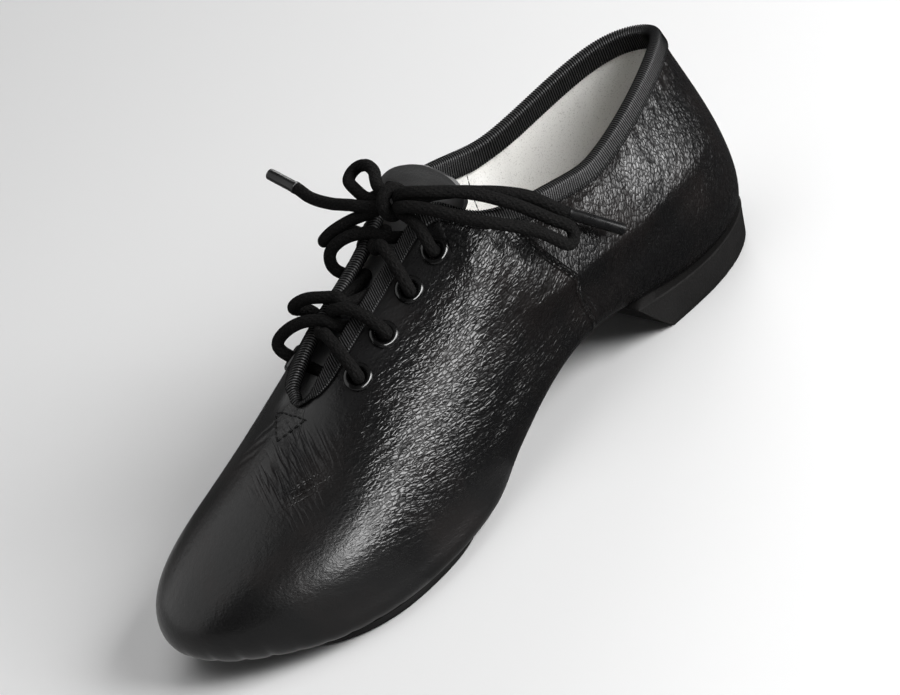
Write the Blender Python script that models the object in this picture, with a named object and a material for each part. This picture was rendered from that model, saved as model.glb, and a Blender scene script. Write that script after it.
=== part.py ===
# Split-sole lace-up dance shoe, left foot, standing empty on its heel and forefoot pad.
# Metres, +Z up, toe towards +X, outer (lateral) side towards +Y.
import bmesh
import bpy
import numpy as np
from mathutils import Matrix, Vector

# Driving dimensions
LENGTH = 0.239            # heel back to toe tip, outside the leather
BALL_WIDTH = 0.0785       # outside the leather at the joints
BACK_HEIGHT = 0.072       # top of the heel counter above the floor
WALL = 0.0016             # upper leather with its lining
GAP = 0.0003              # clearance between pieces that touch
INSOLE_THICK = 0.002
INSOLE_CLEAR = 0.0004
INSOLE_INSET = 0.0012     # inside the line where the leather has turned under
INSOLE_LIFT_START = 9.5   # section
INSOLE_TOE_LIFT = 0.0012  # over the gathered leather under the toes
PAD_THICK = 0.003         # forefoot rubber
PAD_CENTRE_X = 0.177
PAD_CENTRE_Y = -0.002
PAD_HALF_LENGTH = 0.040
PAD_HALF_WIDTH = 0.0365
PAD_SQUARENESS = 2.3      # 2 is an ellipse
PAD_ROUND = 0.0008
HEEL_TOP_INSET = 0.0027   # from the widest line of the upper
HEEL_FOOT_INSET = 0.0052
HEEL_ROUND = 0.0006
HEEL_ROUND_STEP = 0.02    # sections
HEEL_TOP_END = 3.36       # section where the breast meets the upper
HEEL_FOOT_END = 2.92      # section where the breast meets the floor
ARCH_START = 3            # section at the front of the heel seat opening
ARCH_END = 7              # section at the back of the forefoot opening
RIBBON_THICK = 0.0005
RIBBON_LIFT = 0.00055     # off the outside of the leather
RIBBON_CLEAR = 0.0008     # off its hollow side
RIBBON_OUTSIDE = 0.0055   # ribbon height on the outside and inside of the edge
RIBBON_INSIDE = 0.0070
UPPER_EDGE = 0.0009       # the leather stops this far below the ribbon's fold
EYELET_COUNT = 4
EYELET_FIRST = 6.22       # section of the top eyelet
EYELET_STEP = 0.65        # sections between eyelets
EYELET_DOWN = 0.0125      # from the ribbon's fold to the eyelet's centre
EYELET_BORE = 0.0025      # radii
EYELET_BARREL = 0.0030
EYELET_FLANGE = 0.0044
EYELET_HOLE = 0.0034      # hole through the leather
EYELET_LIFT = 0.00035     # under the flat flange, on the curved leather
EYELET_PROUD = 0.0008
EYELET_SIDES = 10
TONGUE_THICK = 0.0016
LACE_RADIUS = 0.0019
LACE_SIDES = 2            # bevel resolution
CROSS_SPACING = 0.0042    # between the points of a crossing
BOW_SPACING = 0.0060      # between the points of the bow
AGLET_GAP = 0.0008
AGLET_RADIUS = 0.0018
AGLET_SIDES = 10
SOFT_EDGE = 0.0004        # rounding of eyelets and aglets
CUTTER_REACH = 0.005      # of the eyelet holes, in and out of the leather
KNOT_CENTRE = (118.3, 1.2, 88.5)
KNOT_RADII = (5.0, 5.6, 3.8)
LACE_RISE = 0.004         # off the leather above an eyelet

# Lace crossings, lowest first: points in mm from above each eyelet over the edge to the middle of the throat.
# The outer eyelet's lace ends under the inner eyelet's.
CROSSINGS = (
    {"lat": ((157.2, 7.0, 69.6), (154.8, 0.6, 68.2), (153.4, -2.2, 68.4)),
     "med": ((159.6, -18.3, 65), (157.3, -14.3, 68.5), (154.2, -7.3, 70.9), (151.9, -0.4, 70.8),
             (150.6, 1.9, 68.9))},
    {"lat": ((147.6, 7.5, 73.4), (146.8, -1.6, 71)),
     "med": ((149.2, -18.6, 69.4), (149.6, -15.6, 72.4), (147.8, -10.6, 74), (146, -5.4, 74),
             (144.4, -0.2, 73.3), (143, 3.2, 71.4))},
    {"lat": ((127.8, 7.6, 80.4), (126.3, 1.4, 78.2), (124.4, -2.2, 78)),
     "med": ((131.4, -16.9, 76.4), (128.9, -13.5, 79.8), (125.5, -8.2, 81.2), (122.6, -3.2, 80.4),
             (121.2, 0.4, 78.4))},
    {"lat": ((119.6, 17.2, 82.8), (118.4, 13.2, 84.8), (118, 8.6, 84.7), (118.2, 4.2, 82.8),
             (118.5, -1.6, 82.2)),
     "med": ((124.5, -21.6, 77.8), (129, -20.6, 79.2), (127.4, -17.8, 81.4), (124.2, -13.6, 83.2),
             (121.2, -9.4, 83.9), (119.4, -4.6, 82.8), (118.4, 1.2, 82.1))},
)

# Routes of the bow, in mm, from the knot outwards
LOOP_LAT = ((116.6, 7.6, 92), (114.8, 13, 92), (111.4, 18.6, 90.7), (106.9, 22.6, 88.2), (102.4, 26.3, 85),
            (98, 29.9, 81.2), (93.5, 32.9, 76.6), (89, 35.2, 70.8), (86.5, 36.7, 65.6), (85.4, 37.9, 61.4),
            (87.4, 39, 59.6), (91.4, 39.5, 63.6), (95.6, 39.4, 68), (100.7, 38.3, 72.9), (105.7, 35.7, 77.5),
            (109.7, 31.4, 81.2), (112.9, 26.3, 84.6), (115.8, 20, 87.9), (118.2, 13.2, 89.7), (120, 8.8, 89.4))
LOOP_MED = ((115.4, -5.4, 92.2), (111.8, -7.2, 93), (109.2, -11.7, 93.3), (106.9, -17, 93.2),
            (106.2, -21.3, 92.4), (108.2, -23.8, 91.6), (111, -21.4, 91), (112.6, -17, 90.4),
            (114.4, -12.4, 89.7), (116.4, -7.6, 89))
END_LAT = ((115, 7, 87.4), (111.6, 11.6, 87.6), (108, 16.2, 87.2), (103.9, 20.6, 85.5), (98.8, 24.4, 82.3),
           (93.4, 27.8, 78.4), (88.8, 30.6, 73.7), (84.9, 32.2, 67.9), (82, 33, 63.6))
END_MED = ((120, -6, 87.7), (120.4, -11.5, 87.8), (120, -18.5, 86.6), (119.2, -25.5, 85.5), (118.4, -33, 85),
           (117.2, -39.5, 85.4), (116.4, -43, 86))
AGLET_LAT_TIP = (68, 36.2, 47.2)
AGLET_MED_TIP = (116.2, -55.1, 89.8)

# Resolution
SPOKES_PER_SECTION = 4
SIDE_ROWS = 6
HEEL_ROWS = 12
PAD_ROWS = 24
KNOT_RINGS = 7
KNOT_SIDES = 12
TUCK_ROWS = 4
MARGIN_ROWS = 1
MM = 0.001

# Sections round the last of a size 36 shoe, in mm, from the heel back round either side to the toe tip.
# out_*: widest line seen from above; wide_z: its height; under_z: height of the sole line there;
# tuck: how far the leather turns under; margin: how far it runs on under the foot;
# top_*: edge of the collar and throat; lean: slope of the leather below that edge, in degrees.
SECTION_COLUMNS = ("out_x", "out_lat", "out_med", "wide_z", "under_z", "tuck", "margin",
                   "top_x", "top_lat", "top_med", "top_z", "lean")
SECTIONS = {
    "heel_back": (0, 0, 0, 30, 12, 5, 9, 3, 0, 0, 72, 80),
    "heel_corner": (9.5, 21, -20, 30, 12, 5, 9, 13, 12, -12.5, 72.5, 80),
    "heel_side": (34, 30.5, -28, 29, 12, 6, 9, 37, 20.5, -21, 69, 78),
    "counter": (60, 30, -28, 28, 14, 9, 9, 60, 25, -25.5, 66.5, 75),
    "waist_back": (85, 30, -27, 28, 18.5, 13, 9, 78, 27, -28, 70, 65),
    "waist": (108, 32.5, -28, 27, 16.5, 13, 9, 103, 24.5, -24, 78, 51),
    "facing": (127.5, 34.5, -31, 24, 10, 10, 9, 110.5, 12, -10.5, 84, 44),
    "instep": (147, 36, -36, 20, 4.8, 7, 9, 128.5, 7, -7, 76, 41),
    "ball_lat": (165.5, 37.5, -40, 17, 3.3, 5, 9, 151.5, 6.5, -6.5, 68, 38),
    "ball_med": (190, 36, -41, 15, 3.3, 5, 10, 167, 5, -5.5, 60, 34),
    "toe_side": (212.5, 26, -37, 14.5, 4, 6, 16, 170, 3.5, -3.5, 57.5, 29),
    "toe_corner": (231, 10, -29, 15, 5.5, 7, 20, 171.3, 1.8, -1.8, 56.5, 25),
    "toe_tip": (239, -11, -11, 15, 7, 8, 22, 171.6, 0, 0, 56, 22.5),
}
TABLE_LENGTH = 0.239      # sizes that the table was drawn at
TABLE_BALL_WIDTH = 0.0785
TABLE_BACK_HEIGHT = 0.072
SPINE_BACK = 0.028        # the turned-under leather points to this stretch of the midline
SPINE_FRONT = 0.195
SIDE_SHOULDER = 0.38      # share of the side that keeps the lean of the edge
SIDE_FULLNESS = 0.45      # share of the height over which the side stands upright above the widest line
TUCK_ROUNDNESS = 0.55     # of the turn under the foot, 0.55 is near a quarter of an ellipse

# Sections across the tongue, in mm, from its sewn end under the vamp to its rounded top.
# drop: how far the edges hang below the crown; middle: how far the tongue has slipped outwards.
TONGUE_COLUMNS = ("x", "crown", "half", "drop", "middle")
TONGUE_SECTIONS = (
    (184, 47.9, 8, 1.6, 0),
    (176, 50.2, 12, 2.4, 0),
    (166, 54.0, 15, 3.0, 0),
    (152, 60.0, 17, 4.8, 0),
    (138, 65.0, 18, 6.5, 0),
    (124, 69.5, 18.2, 6.0, 0),
    (113, 75.5, 17.5, 5.5, 0),
    (105, 82.5, 16.2, 4.4, 0.6),
    (101.8, 87.2, 16.4, 2.6, 2),
    (100.3, 89.6, 11.5, 1.0, 2.6),
)
TONGUE_SWEEP = 0.002     # the edges lie this far in front of the crown
TONGUE_ROWS = 18
TONGUE_COLUMNS_ACROSS = 6


def clear_scene():
    for old in list(bpy.data.objects):
        bpy.data.objects.remove(old, do_unlink=True)


def make_material(name, colour, roughness, metallic=0.0):
    material = bpy.data.materials.new(name)
    material.use_nodes = True
    shader = material.node_tree.nodes["Principled BSDF"]
    shader.inputs["Base Color"].default_value = (*colour, 1.0)
    shader.inputs["Roughness"].default_value = roughness
    shader.inputs["Metallic"].default_value = metallic
    return material


def add_mesh(name, points, faces, material, root, closed=True):
    mesh = bpy.data.meshes.new(name)
    mesh.from_pydata([tuple(map(float, p)) for p in points], [], faces)
    if closed:
        work = bmesh.new()
        work.from_mesh(mesh)
        bmesh.ops.recalc_face_normals(work, faces=work.faces)
        work.to_mesh(mesh)
        work.free()
    mesh.materials.append(material)
    mesh.shade_smooth()
    mesh.set_sharp_from_angle(angle=np.radians(50))
    piece = bpy.data.objects.new(name, mesh)
    bpy.context.collection.objects.link(piece)
    piece.parent = root
    return piece


def grid_faces(rows, columns, wrap_rows=False, wrap_columns=False):
    faces = []
    for i in range(rows if wrap_rows else rows - 1):
        for j in range(columns if wrap_columns else columns - 1):
            i2 = (i + 1) % rows
            j2 = (j + 1) % columns
            faces.append((i * columns + j, i2 * columns + j, i2 * columns + j2, i * columns + j2))
    return faces


def smooth_through(knots, t, periodic):
    # Cubic spline through knots at t = 0, 1, 2 and so on
    n = len(knots)
    system = 4 * np.eye(n)
    for i in range(n):
        system[i, (i - 1) % n] += 1
        system[i, (i + 1) % n] += 1
    right = 3 * (np.roll(knots, -1, 0) - np.roll(knots, 1, 0))
    if not periodic:
        system[0] = 0
        system[0, :2] = (2, 1)
        system[-1] = 0
        system[-1, -2:] = (1, 2)
        right[0] = 3 * (knots[1] - knots[0])
        right[-1] = 3 * (knots[-1] - knots[-2])
    slope = np.linalg.solve(system, right)
    t = np.atleast_1d(np.asarray(t, float))
    start = np.floor(t).astype(int)
    if not periodic:
        start = np.clip(start, 0, n - 2)
    f = (t - start)[:, None]
    a = start % n
    b = (start + 1) % n
    return ((2 * f**3 - 3 * f**2 + 1) * knots[a] + (f**3 - 2 * f**2 + f) * slope[a]
            + (3 * f**2 - 2 * f**3) * knots[b] + (f**3 - f**2) * slope[b])


def bezier(p0, p1, p2, p3, v):
    v = v[..., None]
    p0, p1, p2, p3 = (p[:, None] for p in (p0, p1, p2, p3))
    return (1 - v)**3 * p0 + 3 * (1 - v)**2 * v * p1 + 3 * (1 - v) * v**2 * p2 + v**3 * p3


def unit(vectors):
    return vectors / np.linalg.norm(vectors, axis=-1, keepdims=True)


# The last: its sections as a closed run, outer side first, then back along the inner side
def section_ring():
    scale = {"x": LENGTH / TABLE_LENGTH, "y": BALL_WIDTH / TABLE_BALL_WIDTH,
             "z": BACK_HEIGHT / TABLE_BACK_HEIGHT}
    axis = {"out_x": "x", "top_x": "x", "margin": "x", "tuck": "y", "out_lat": "y", "out_med": "y",
            "top_lat": "y", "top_med": "y", "wide_z": "z", "under_z": "z", "top_z": "z"}
    rows = np.array(list(SECTIONS.values()), float)
    for column, name in enumerate(SECTION_COLUMNS):
        if name in axis:
            rows[:, column] *= MM * scale[axis[name]]
    sides = []
    for hidden in ("med", "lat"):
        keep = [c for c, name in enumerate(SECTION_COLUMNS) if not name.endswith(hidden)]
        sides.append(rows[:, keep])
    return np.vstack([sides[0], sides[1][-2:0:-1]])


RING = section_ring()
TOE = len(SECTIONS) - 1
RING_COLUMNS = ("out_x", "out_y", "wide_z", "under_z", "tuck", "margin",
                "top_x", "top_y", "top_z", "lean")


def sections_at(t):
    return dict(zip(RING_COLUMNS, smooth_through(RING, t, True).T))


def widest_line(t):
    q = sections_at(t)
    return np.stack([q["out_x"], q["out_y"], q["wide_z"]], 1)


def inward(t):
    step = 0.02
    along = widest_line(t + step) - widest_line(t - step)
    return unit(np.stack([along[:, 1], -along[:, 0], 0 * t], 1))


def side_points(t, v):
    # v runs from 0 at the collar or throat edge to 1 at the widest line
    q = sections_at(t)
    wide = np.stack([q["out_x"], q["out_y"], q["wide_z"]], 1)
    top = np.stack([q["top_x"], q["top_y"], q["top_z"]], 1)
    plan = unit(wide[:, :2] - top[:, :2])
    lean = np.radians(q["lean"])
    start = np.stack([plan[:, 0] * np.cos(lean), plan[:, 1] * np.cos(lean), -np.sin(lean)], 1)
    span = np.linalg.norm(wide - top, axis=1)
    rise = SIDE_FULLNESS * (q["top_z"] - q["wide_z"])
    first = top + start * (SIDE_SHOULDER * span)[:, None]
    second = wide + np.stack([0 * rise, 0 * rise, rise], 1)
    return bezier(top, first, second, wide, v)


def side_normals(t, v):
    step = 0.01
    along = side_points(t + step, v) - side_points(t - step, v)
    down = side_points(t, v + step) - side_points(t, v - step)
    return unit(np.cross(along, down))


def side_lengths(t):
    v = np.tile(np.linspace(0, 1, 61), (len(t), 1))
    steps = np.linalg.norm(np.diff(side_points(t, v), axis=1), axis=2)
    return v[0], np.hstack([np.zeros((len(t), 1)), np.cumsum(steps, 1)])


def skin(t, down, lift=0.0):
    # Points on the outside of the upper, `down` from its edge along the leather, `lift` off it
    t = np.atleast_1d(np.asarray(t, float))
    down = np.broadcast_to(np.asarray(down, float), (len(t), np.shape(down)[-1]))
    grid, lengths = side_lengths(t)
    v = np.stack([np.interp(d, length, grid) for d, length in zip(down, lengths)])
    return side_points(t, v) + side_normals(t, v) * np.asarray(lift)[..., None]


def under_points(t):
    # From the widest line round under the foot to the inner edge of the turned-in leather
    q = sections_at(t)
    wide = widest_line(t)
    towards = inward(t)
    turned = wide + towards * q["tuck"][:, None]
    turned[:, 2] = q["under_z"]
    down = np.stack([0 * t, 0 * t, q["wide_z"] - q["under_z"]], 1)
    first = wide - down * TUCK_ROUNDNESS
    second = turned - towards * (q["tuck"] * TUCK_ROUNDNESS)[:, None]
    v = np.tile(np.linspace(0, 1, TUCK_ROWS + 1)[1:], (len(t), 1))
    tuck = bezier(wide, first, second, turned, v)
    spine = np.stack([np.clip(turned[:, 0], SPINE_BACK, SPINE_FRONT), 0 * t, 0 * t], 1)
    spine[:, 1] = midline_y(spine[:, 0])
    flat = spine - turned
    flat[:, 2] = 0
    inner = turned + unit(flat) * q["margin"][:, None]
    inner[:, 2] = sole_line(inner[:, 0])
    share = np.linspace(0, 1, MARGIN_ROWS + 1)[1:, None]
    margin = turned[:, None] + (inner - turned)[:, None] * share
    spine[:, 2] = sole_line(spine[:, 0])
    return np.concatenate([tuck, margin], 1), turned, spine


def half_sections(end=TOE, steps=None):
    return np.linspace(0, end, (steps or end * SPOKES_PER_SECTION) + 1)


def midline_y(x):
    t = half_sections()
    lat = sections_at(t)
    med = sections_at(-t)
    return np.interp(x, lat["out_x"], (lat["out_y"] + med["out_y"]) / 2)


def sole_line(x):
    q = sections_at(half_sections(TOE, 120))
    return np.interp(x, q["out_x"], q["under_z"])


def turned_normals(t, rows):
    # Outward normals of the turned-under leather, row by row below the widest line
    towards = inward(t)[:, None]
    step = np.gradient(rows, axis=1)
    inwards = (step * towards).sum(2, keepdims=True)
    return unit(step[..., 2:] * towards - inwards * np.array([0, 0, 1]))


def rim_faces(faces, inner):
    # Walls between the outer and inner sheets along the edges of the outer sheet that have one face
    edges = {}
    for face in faces:
        for a, b in zip(face, face[1:] + face[:1]):
            edges[(a, b)] = (b, a) not in edges
            if not edges[(a, b)]:
                edges[(b, a)] = False
    return [(b, a, a + inner, b + inner) for (a, b), single in edges.items() if single]


def make_upper(root, material, eyelets):
    spokes = 2 * TOE * SPOKES_PER_SECTION
    t = np.arange(spokes) / SPOKES_PER_SECTION
    length = side_lengths(t)[1][:, -1:]
    down = UPPER_EDGE + (length - UPPER_EDGE) * np.linspace(0, 1, SIDE_ROWS + 1)
    under, turned, spine = under_points(t)
    normals = turned_normals(t, np.concatenate([widest_line(t)[:, None], under], 1))[:, 1:]
    outer = np.concatenate([skin(t, down), under], 1)
    inner = np.concatenate([skin(t, down, -WALL), under - normals * WALL], 1)
    columns = outer.shape[1]
    faces = grid_faces(spokes, columns, wrap_rows=True)
    first = ARCH_START * SPOKES_PER_SECTION
    last = ARCH_END * SPOKES_PER_SECTION
    seam = {i: spokes * columns + i - first for i in range(first, last + 1)}
    seam_points = np.array([(spine[i] + spine[spokes - i]) / 2 for i in seam])
    for i in range(first, last):
        edge = [k * columns + columns - 1 for k in (i, i + 1, spokes - i - 1, spokes - i)]
        faces.append((edge[0], edge[1], seam[i + 1], seam[i]))
        faces.append((edge[2], edge[3], seam[i], seam[i + 1]))
    sheet = np.vstack([outer.reshape(-1, 3), seam_points])
    lining = np.vstack([inner.reshape(-1, 3), seam_points + (0, 0, WALL)])
    hidden = [tuple(len(sheet) + k for k in reversed(face)) for face in faces]
    points = np.vstack([sheet, lining])
    upper = add_mesh("upper", points, faces + hidden + rim_faces(faces, len(sheet)), material, root)
    upper.modifiers.new("flat faces", "TRIANGULATE")
    holes = upper.modifiers.new("eyelet holes", "BOOLEAN")
    holes.operation = "DIFFERENCE"
    holes.solver = "EXACT"
    holes.object = make_eyelet_cutter(root, eyelets)
    return upper


# A solid with an outline given as outer and inner side points in pairs, at one or more levels
def make_slab(name, levels, material, root):
    points = []
    rims = []
    for lat, med in levels:
        rim = []
        for outer, inner in zip(lat, med):
            single = np.linalg.norm(outer - inner) < 1e-6
            rim.append((len(points), len(points) if single else len(points) + 1))
            points.extend([outer] if single else [outer, inner])
        rims.append(rim)
    faces = []
    for rim in (rims[0], rims[-1]):
        for a, b in zip(rim, rim[1:]):
            faces.append((a[0], b[0], b[1], a[1]))
    for high, low in zip(rims, rims[1:]):
        loop_high = [p[0] for p in high] + [p[1] for p in reversed(high)]
        loop_low = [p[0] for p in low] + [p[1] for p in reversed(low)]
        count = len(loop_high)
        for k in range(count):
            m = (k + 1) % count
            faces.append((loop_high[k], loop_high[m], loop_low[m], loop_low[k]))
    tidy = []
    for face in faces:
        corners = list(dict.fromkeys(face))
        if len(corners) > 2:
            tidy.append(tuple(corners))
    return add_mesh(name, points, tidy, material, root)


def make_insole(root, material):
    t = half_sections()
    seat = WALL + INSOLE_CLEAR + INSOLE_TOE_LIFT * np.clip(t - INSOLE_LIFT_START, 0, 1)
    levels = []
    for height in (seat + INSOLE_THICK, seat):
        sides = []
        for run in (t, -t):
            rim = under_points(run)[1] + inward(run) * INSOLE_INSET
            rim[:, 2] += height
            sides.append(rim)
        levels.append(sides)
    return make_slab("insole", levels, material, root)


def make_heel(root, material):
    levels = []
    for end, inset, foot in ((HEEL_TOP_END, HEEL_TOP_INSET, None),
                             (HEEL_FOOT_END + HEEL_ROUND_STEP, HEEL_FOOT_INSET, HEEL_ROUND),
                             (HEEL_FOOT_END, HEEL_FOOT_INSET + HEEL_ROUND, 0.0)):
        t = half_sections(end, HEEL_ROWS)
        sides = []
        for run in (t, -t):
            rim = widest_line(run) + inward(run) * inset
            rim[:, 2] = sole_line(rim[:, 0]) - GAP if foot is None else foot
            sides.append(rim)
        levels.append(sides)
    return make_slab("heel", levels, material, root)


def make_pad(root, material):
    angle = np.linspace(0, np.pi, PAD_ROWS + 1)
    power = 2 / PAD_SQUARENESS
    levels = []
    for rise, inset in ((PAD_THICK, 0.0), (PAD_ROUND, 0.0), (0.0, PAD_ROUND)):
        x = PAD_CENTRE_X - np.sign(np.cos(angle)) * np.abs(np.cos(angle))**power * (PAD_HALF_LENGTH - inset)
        half = np.abs(np.sin(angle))**power * (PAD_HALF_WIDTH - inset)
        half[[0, -1]] = 0
        top = sole_line(x) - GAP
        z = np.maximum(top - PAD_THICK, 0) + rise if rise < PAD_THICK else top
        sides = [np.stack([x, PAD_CENTRE_Y + side * half, z], 1) for side in (1, -1)]
        levels.append(sides)
    return make_slab("forefoot_sole", levels, material, root)


def tongue_point_rows():
    sections = np.array(TONGUE_SECTIONS, float) * MM
    rows = smooth_through(sections, np.linspace(0, len(sections) - 1, TONGUE_ROWS + 1), False)
    across = np.linspace(1, -1, TONGUE_COLUMNS_ACROSS + 1)
    x, crown, half, drop, middle = (rows[:, k:k + 1] for k in range(len(TONGUE_COLUMNS)))
    return np.stack([x + TONGUE_SWEEP * across**2, middle + half * across, crown - drop * across**2], 2)


def make_tongue(root, material):
    sheet = tongue_point_rows()
    faces = grid_faces(*sheet.shape[:2])
    tongue = add_mesh("tongue", sheet.reshape(-1, 3), faces, material, root, closed=False)
    wall = tongue.modifiers.new("thickness", "SOLIDIFY")
    wall.thickness = TONGUE_THICK
    wall.offset = -1
    return tongue


def make_binding(root, material):
    t = np.arange(2 * TOE * SPOKES_PER_SECTION) / SPOKES_PER_SECTION
    outer = RIBBON_LIFT + RIBBON_THICK
    back = -WALL - RIBBON_CLEAR
    inner = back - RIBBON_THICK
    ceiling = UPPER_EDGE - GAP
    section = ((RIBBON_OUTSIDE, RIBBON_LIFT), (RIBBON_OUTSIDE, outer), (0.0, outer), (0.0, inner),
               (RIBBON_INSIDE, inner), (RIBBON_INSIDE, back), (ceiling, back), (ceiling, RIBBON_LIFT))
    down = np.array([p[0] for p in section])
    lift = np.array([p[1] for p in section])
    ring = skin(t, down, lift)
    faces = grid_faces(*ring.shape[:2], wrap_rows=True, wrap_columns=True)
    return add_mesh("binding", ring.reshape(-1, 3), faces, material, root)


# Eyelets: a place on the leather with an axis along its normal, outwards
def eyelet_places():
    places = {}
    for k in range(EYELET_COUNT):
        t = EYELET_FIRST + EYELET_STEP * (EYELET_COUNT - 1 - k)
        for side, turn in (("lat", t), ("med", -t)):
            base = skin(turn, [EYELET_DOWN])[0, 0]
            tip = skin(turn, [EYELET_DOWN], 1.0)[0, 0]
            places[f"{side}_{k + 1}"] = (base, unit(tip - base))
    return places


def along_axis(base, axis):
    turn = Vector((0, 0, 1)).rotation_difference(Vector(axis))
    return Matrix.Translation(Vector(base)) @ turn.to_matrix().to_4x4()


def turned_ring(profile, sides):
    angles = np.arange(sides) * 2 * np.pi / sides
    rings = [[(r * np.cos(a), r * np.sin(a), z) for r, z in profile] for a in angles]
    return np.array(rings)


def make_eyelet(name, base, axis, material, root):
    low = EYELET_LIFT
    high = EYELET_LIFT + EYELET_PROUD
    back = -WALL - GAP
    profile = ((EYELET_BORE, back), (EYELET_BORE, high - SOFT_EDGE), (EYELET_BORE + SOFT_EDGE, high),
               (EYELET_FLANGE - 2 * SOFT_EDGE, high), (EYELET_FLANGE, low + SOFT_EDGE / 2),
               (EYELET_FLANGE, low), (EYELET_BARREL, low), (EYELET_BARREL, back))
    rings = turned_ring(profile, EYELET_SIDES)
    faces = grid_faces(*rings.shape[:2], wrap_rows=True, wrap_columns=True)
    eyelet = add_mesh(name, rings.reshape(-1, 3), faces, material, root)
    eyelet.data.transform(along_axis(base, axis))
    return eyelet


def make_eyelet_cutter(root, places):
    points = []
    faces = []
    for base, axis in places.values():
        frame = along_axis(base, axis)
        start = len(points)
        for z in (-CUTTER_REACH, CUTTER_REACH):
            for a in np.arange(EYELET_SIDES) * 2 * np.pi / EYELET_SIDES:
                points.append(frame @ Vector((EYELET_HOLE * np.cos(a), EYELET_HOLE * np.sin(a), z)))
        low = [start + k for k in range(EYELET_SIDES)]
        high = [start + EYELET_SIDES + k for k in range(EYELET_SIDES)]
        faces.append(tuple(reversed(low)))
        faces.append(tuple(high))
        for k in range(EYELET_SIDES):
            m = (k + 1) % EYELET_SIDES
            faces.append((low[k], low[m], high[m], high[k]))
    cutter = add_mesh("eyelet_cutter", points, faces, bpy.data.materials["eyelet"], root)
    cutter.hide_render = True
    cutter.display_type = "WIRE"
    return cutter


def smooth_route(route, spacing):
    knots = np.array(route, float)
    fine = smooth_through(knots, np.linspace(0, len(knots) - 1, 40 * len(knots)), False)
    run = np.concatenate([[0], np.cumsum(np.linalg.norm(np.diff(fine, axis=0), axis=1))])
    stops = np.linspace(0, run[-1], max(3, round(run[-1] / spacing)) + 1)
    return np.stack([np.interp(stops, run, fine[:, k]) for k in range(3)], 1)


def make_cord(name, route, spacing, material, root):
    points = smooth_route(route, spacing)
    curve = bpy.data.curves.new(name, "CURVE")
    curve.dimensions = "3D"
    curve.bevel_depth = LACE_RADIUS
    curve.bevel_resolution = LACE_SIDES
    curve.use_fill_caps = True
    curve.materials.append(material)
    spline = curve.splines.new("POLY")
    spline.points.add(len(points) - 1)
    for target, point in zip(spline.points, points):
        target.co = (*point, 1.0)
    cord = bpy.data.objects.new(name, curve)
    bpy.context.collection.objects.link(cord)
    cord.parent = root
    return cord


def make_cord_mesh(name, route, material, root):
    cord = make_cord(name + " route", route, CROSS_SPACING, material, root)
    bpy.context.view_layer.update()
    mesh = bpy.data.meshes.new_from_object(cord.evaluated_get(bpy.context.evaluated_depsgraph_get()))
    bpy.data.objects.remove(cord, do_unlink=True)
    mesh.name = name
    piece = bpy.data.objects.new(name, mesh)
    bpy.context.collection.objects.link(piece)
    piece.parent = root
    return piece


# One crossing: the outer eyelet's lace dives in the throat under the inner eyelet's, and they are fused
def make_crossing(number, eyelets, material, root):
    routes = {}
    for side, points in CROSSINGS[number - 1].items():
        base, axis = eyelets[f"{side}_{number}"]
        routes[side] = np.vstack([base + axis * GAP, base + axis * LACE_RISE, np.array(points) * MM])
    low = make_cord_mesh(f"lace_under_{number}", routes["lat"], material, root)
    low.hide_render = True
    low.display_type = "WIRE"
    high = make_cord_mesh(f"lace_cross_{number}", routes["med"], material, root)
    fuse = high.modifiers.new("fused crossing", "BOOLEAN")
    fuse.operation = "UNION"
    fuse.solver = "EXACT"
    fuse.object = low
    return high


def make_knot(root, material):
    points = [(0, 0, 1)]
    for row in np.arange(1, KNOT_RINGS) * np.pi / KNOT_RINGS:
        for a in np.arange(KNOT_SIDES) * 2 * np.pi / KNOT_SIDES:
            points.append((np.sin(row) * np.cos(a), np.sin(row) * np.sin(a), np.cos(row)))
    points.append((0, 0, -1))
    faces = []
    last = len(points) - 1
    for k in range(KNOT_SIDES):
        m = (k + 1) % KNOT_SIDES
        faces.append((0, 1 + k, 1 + m))
        faces.append((last, last - KNOT_SIDES + m, last - KNOT_SIDES + k))
        for row in range(KNOT_RINGS - 2):
            a = 1 + row * KNOT_SIDES
            b = a + KNOT_SIDES
            faces.append((a + k, b + k, b + m, a + m))
    shaped = np.array(points) * np.array(KNOT_RADII) * MM + np.array(KNOT_CENTRE) * MM
    return add_mesh("lace_knot", shaped, faces, material, root)


def make_aglet(name, start, tip, material, root):
    start = np.array(start) * MM
    tip = np.array(tip) * MM
    axis = unit(tip - start)
    start = start + axis * AGLET_GAP
    length = np.linalg.norm(tip - start)
    profile = ((AGLET_RADIUS - SOFT_EDGE, 0), (AGLET_RADIUS, SOFT_EDGE), (AGLET_RADIUS, length - SOFT_EDGE),
               (AGLET_RADIUS - SOFT_EDGE, length))
    frame = along_axis(start, axis)
    points = [frame @ Vector(p) for ring in turned_ring(profile, AGLET_SIDES) for p in ring]
    faces = grid_faces(AGLET_SIDES, len(profile), wrap_rows=True)
    for end in (0, len(profile) - 1):
        faces.append(tuple(k * len(profile) + end for k in range(AGLET_SIDES)))
    return add_mesh(name, points, faces, material, root)


def make_bow(root, lace, plastic):
    make_knot(root, lace)
    for name, route in (("lace_loop_lat", LOOP_LAT), ("lace_loop_med", LOOP_MED),
                        ("lace_end_lat", END_LAT), ("lace_end_med", END_MED)):
        make_cord(name, np.array(route) * MM, BOW_SPACING, lace, root)
    make_aglet("aglet_lat", END_LAT[-1], AGLET_LAT_TIP, plastic, root)
    make_aglet("aglet_med", END_MED[-1], AGLET_MED_TIP, plastic, root)


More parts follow.
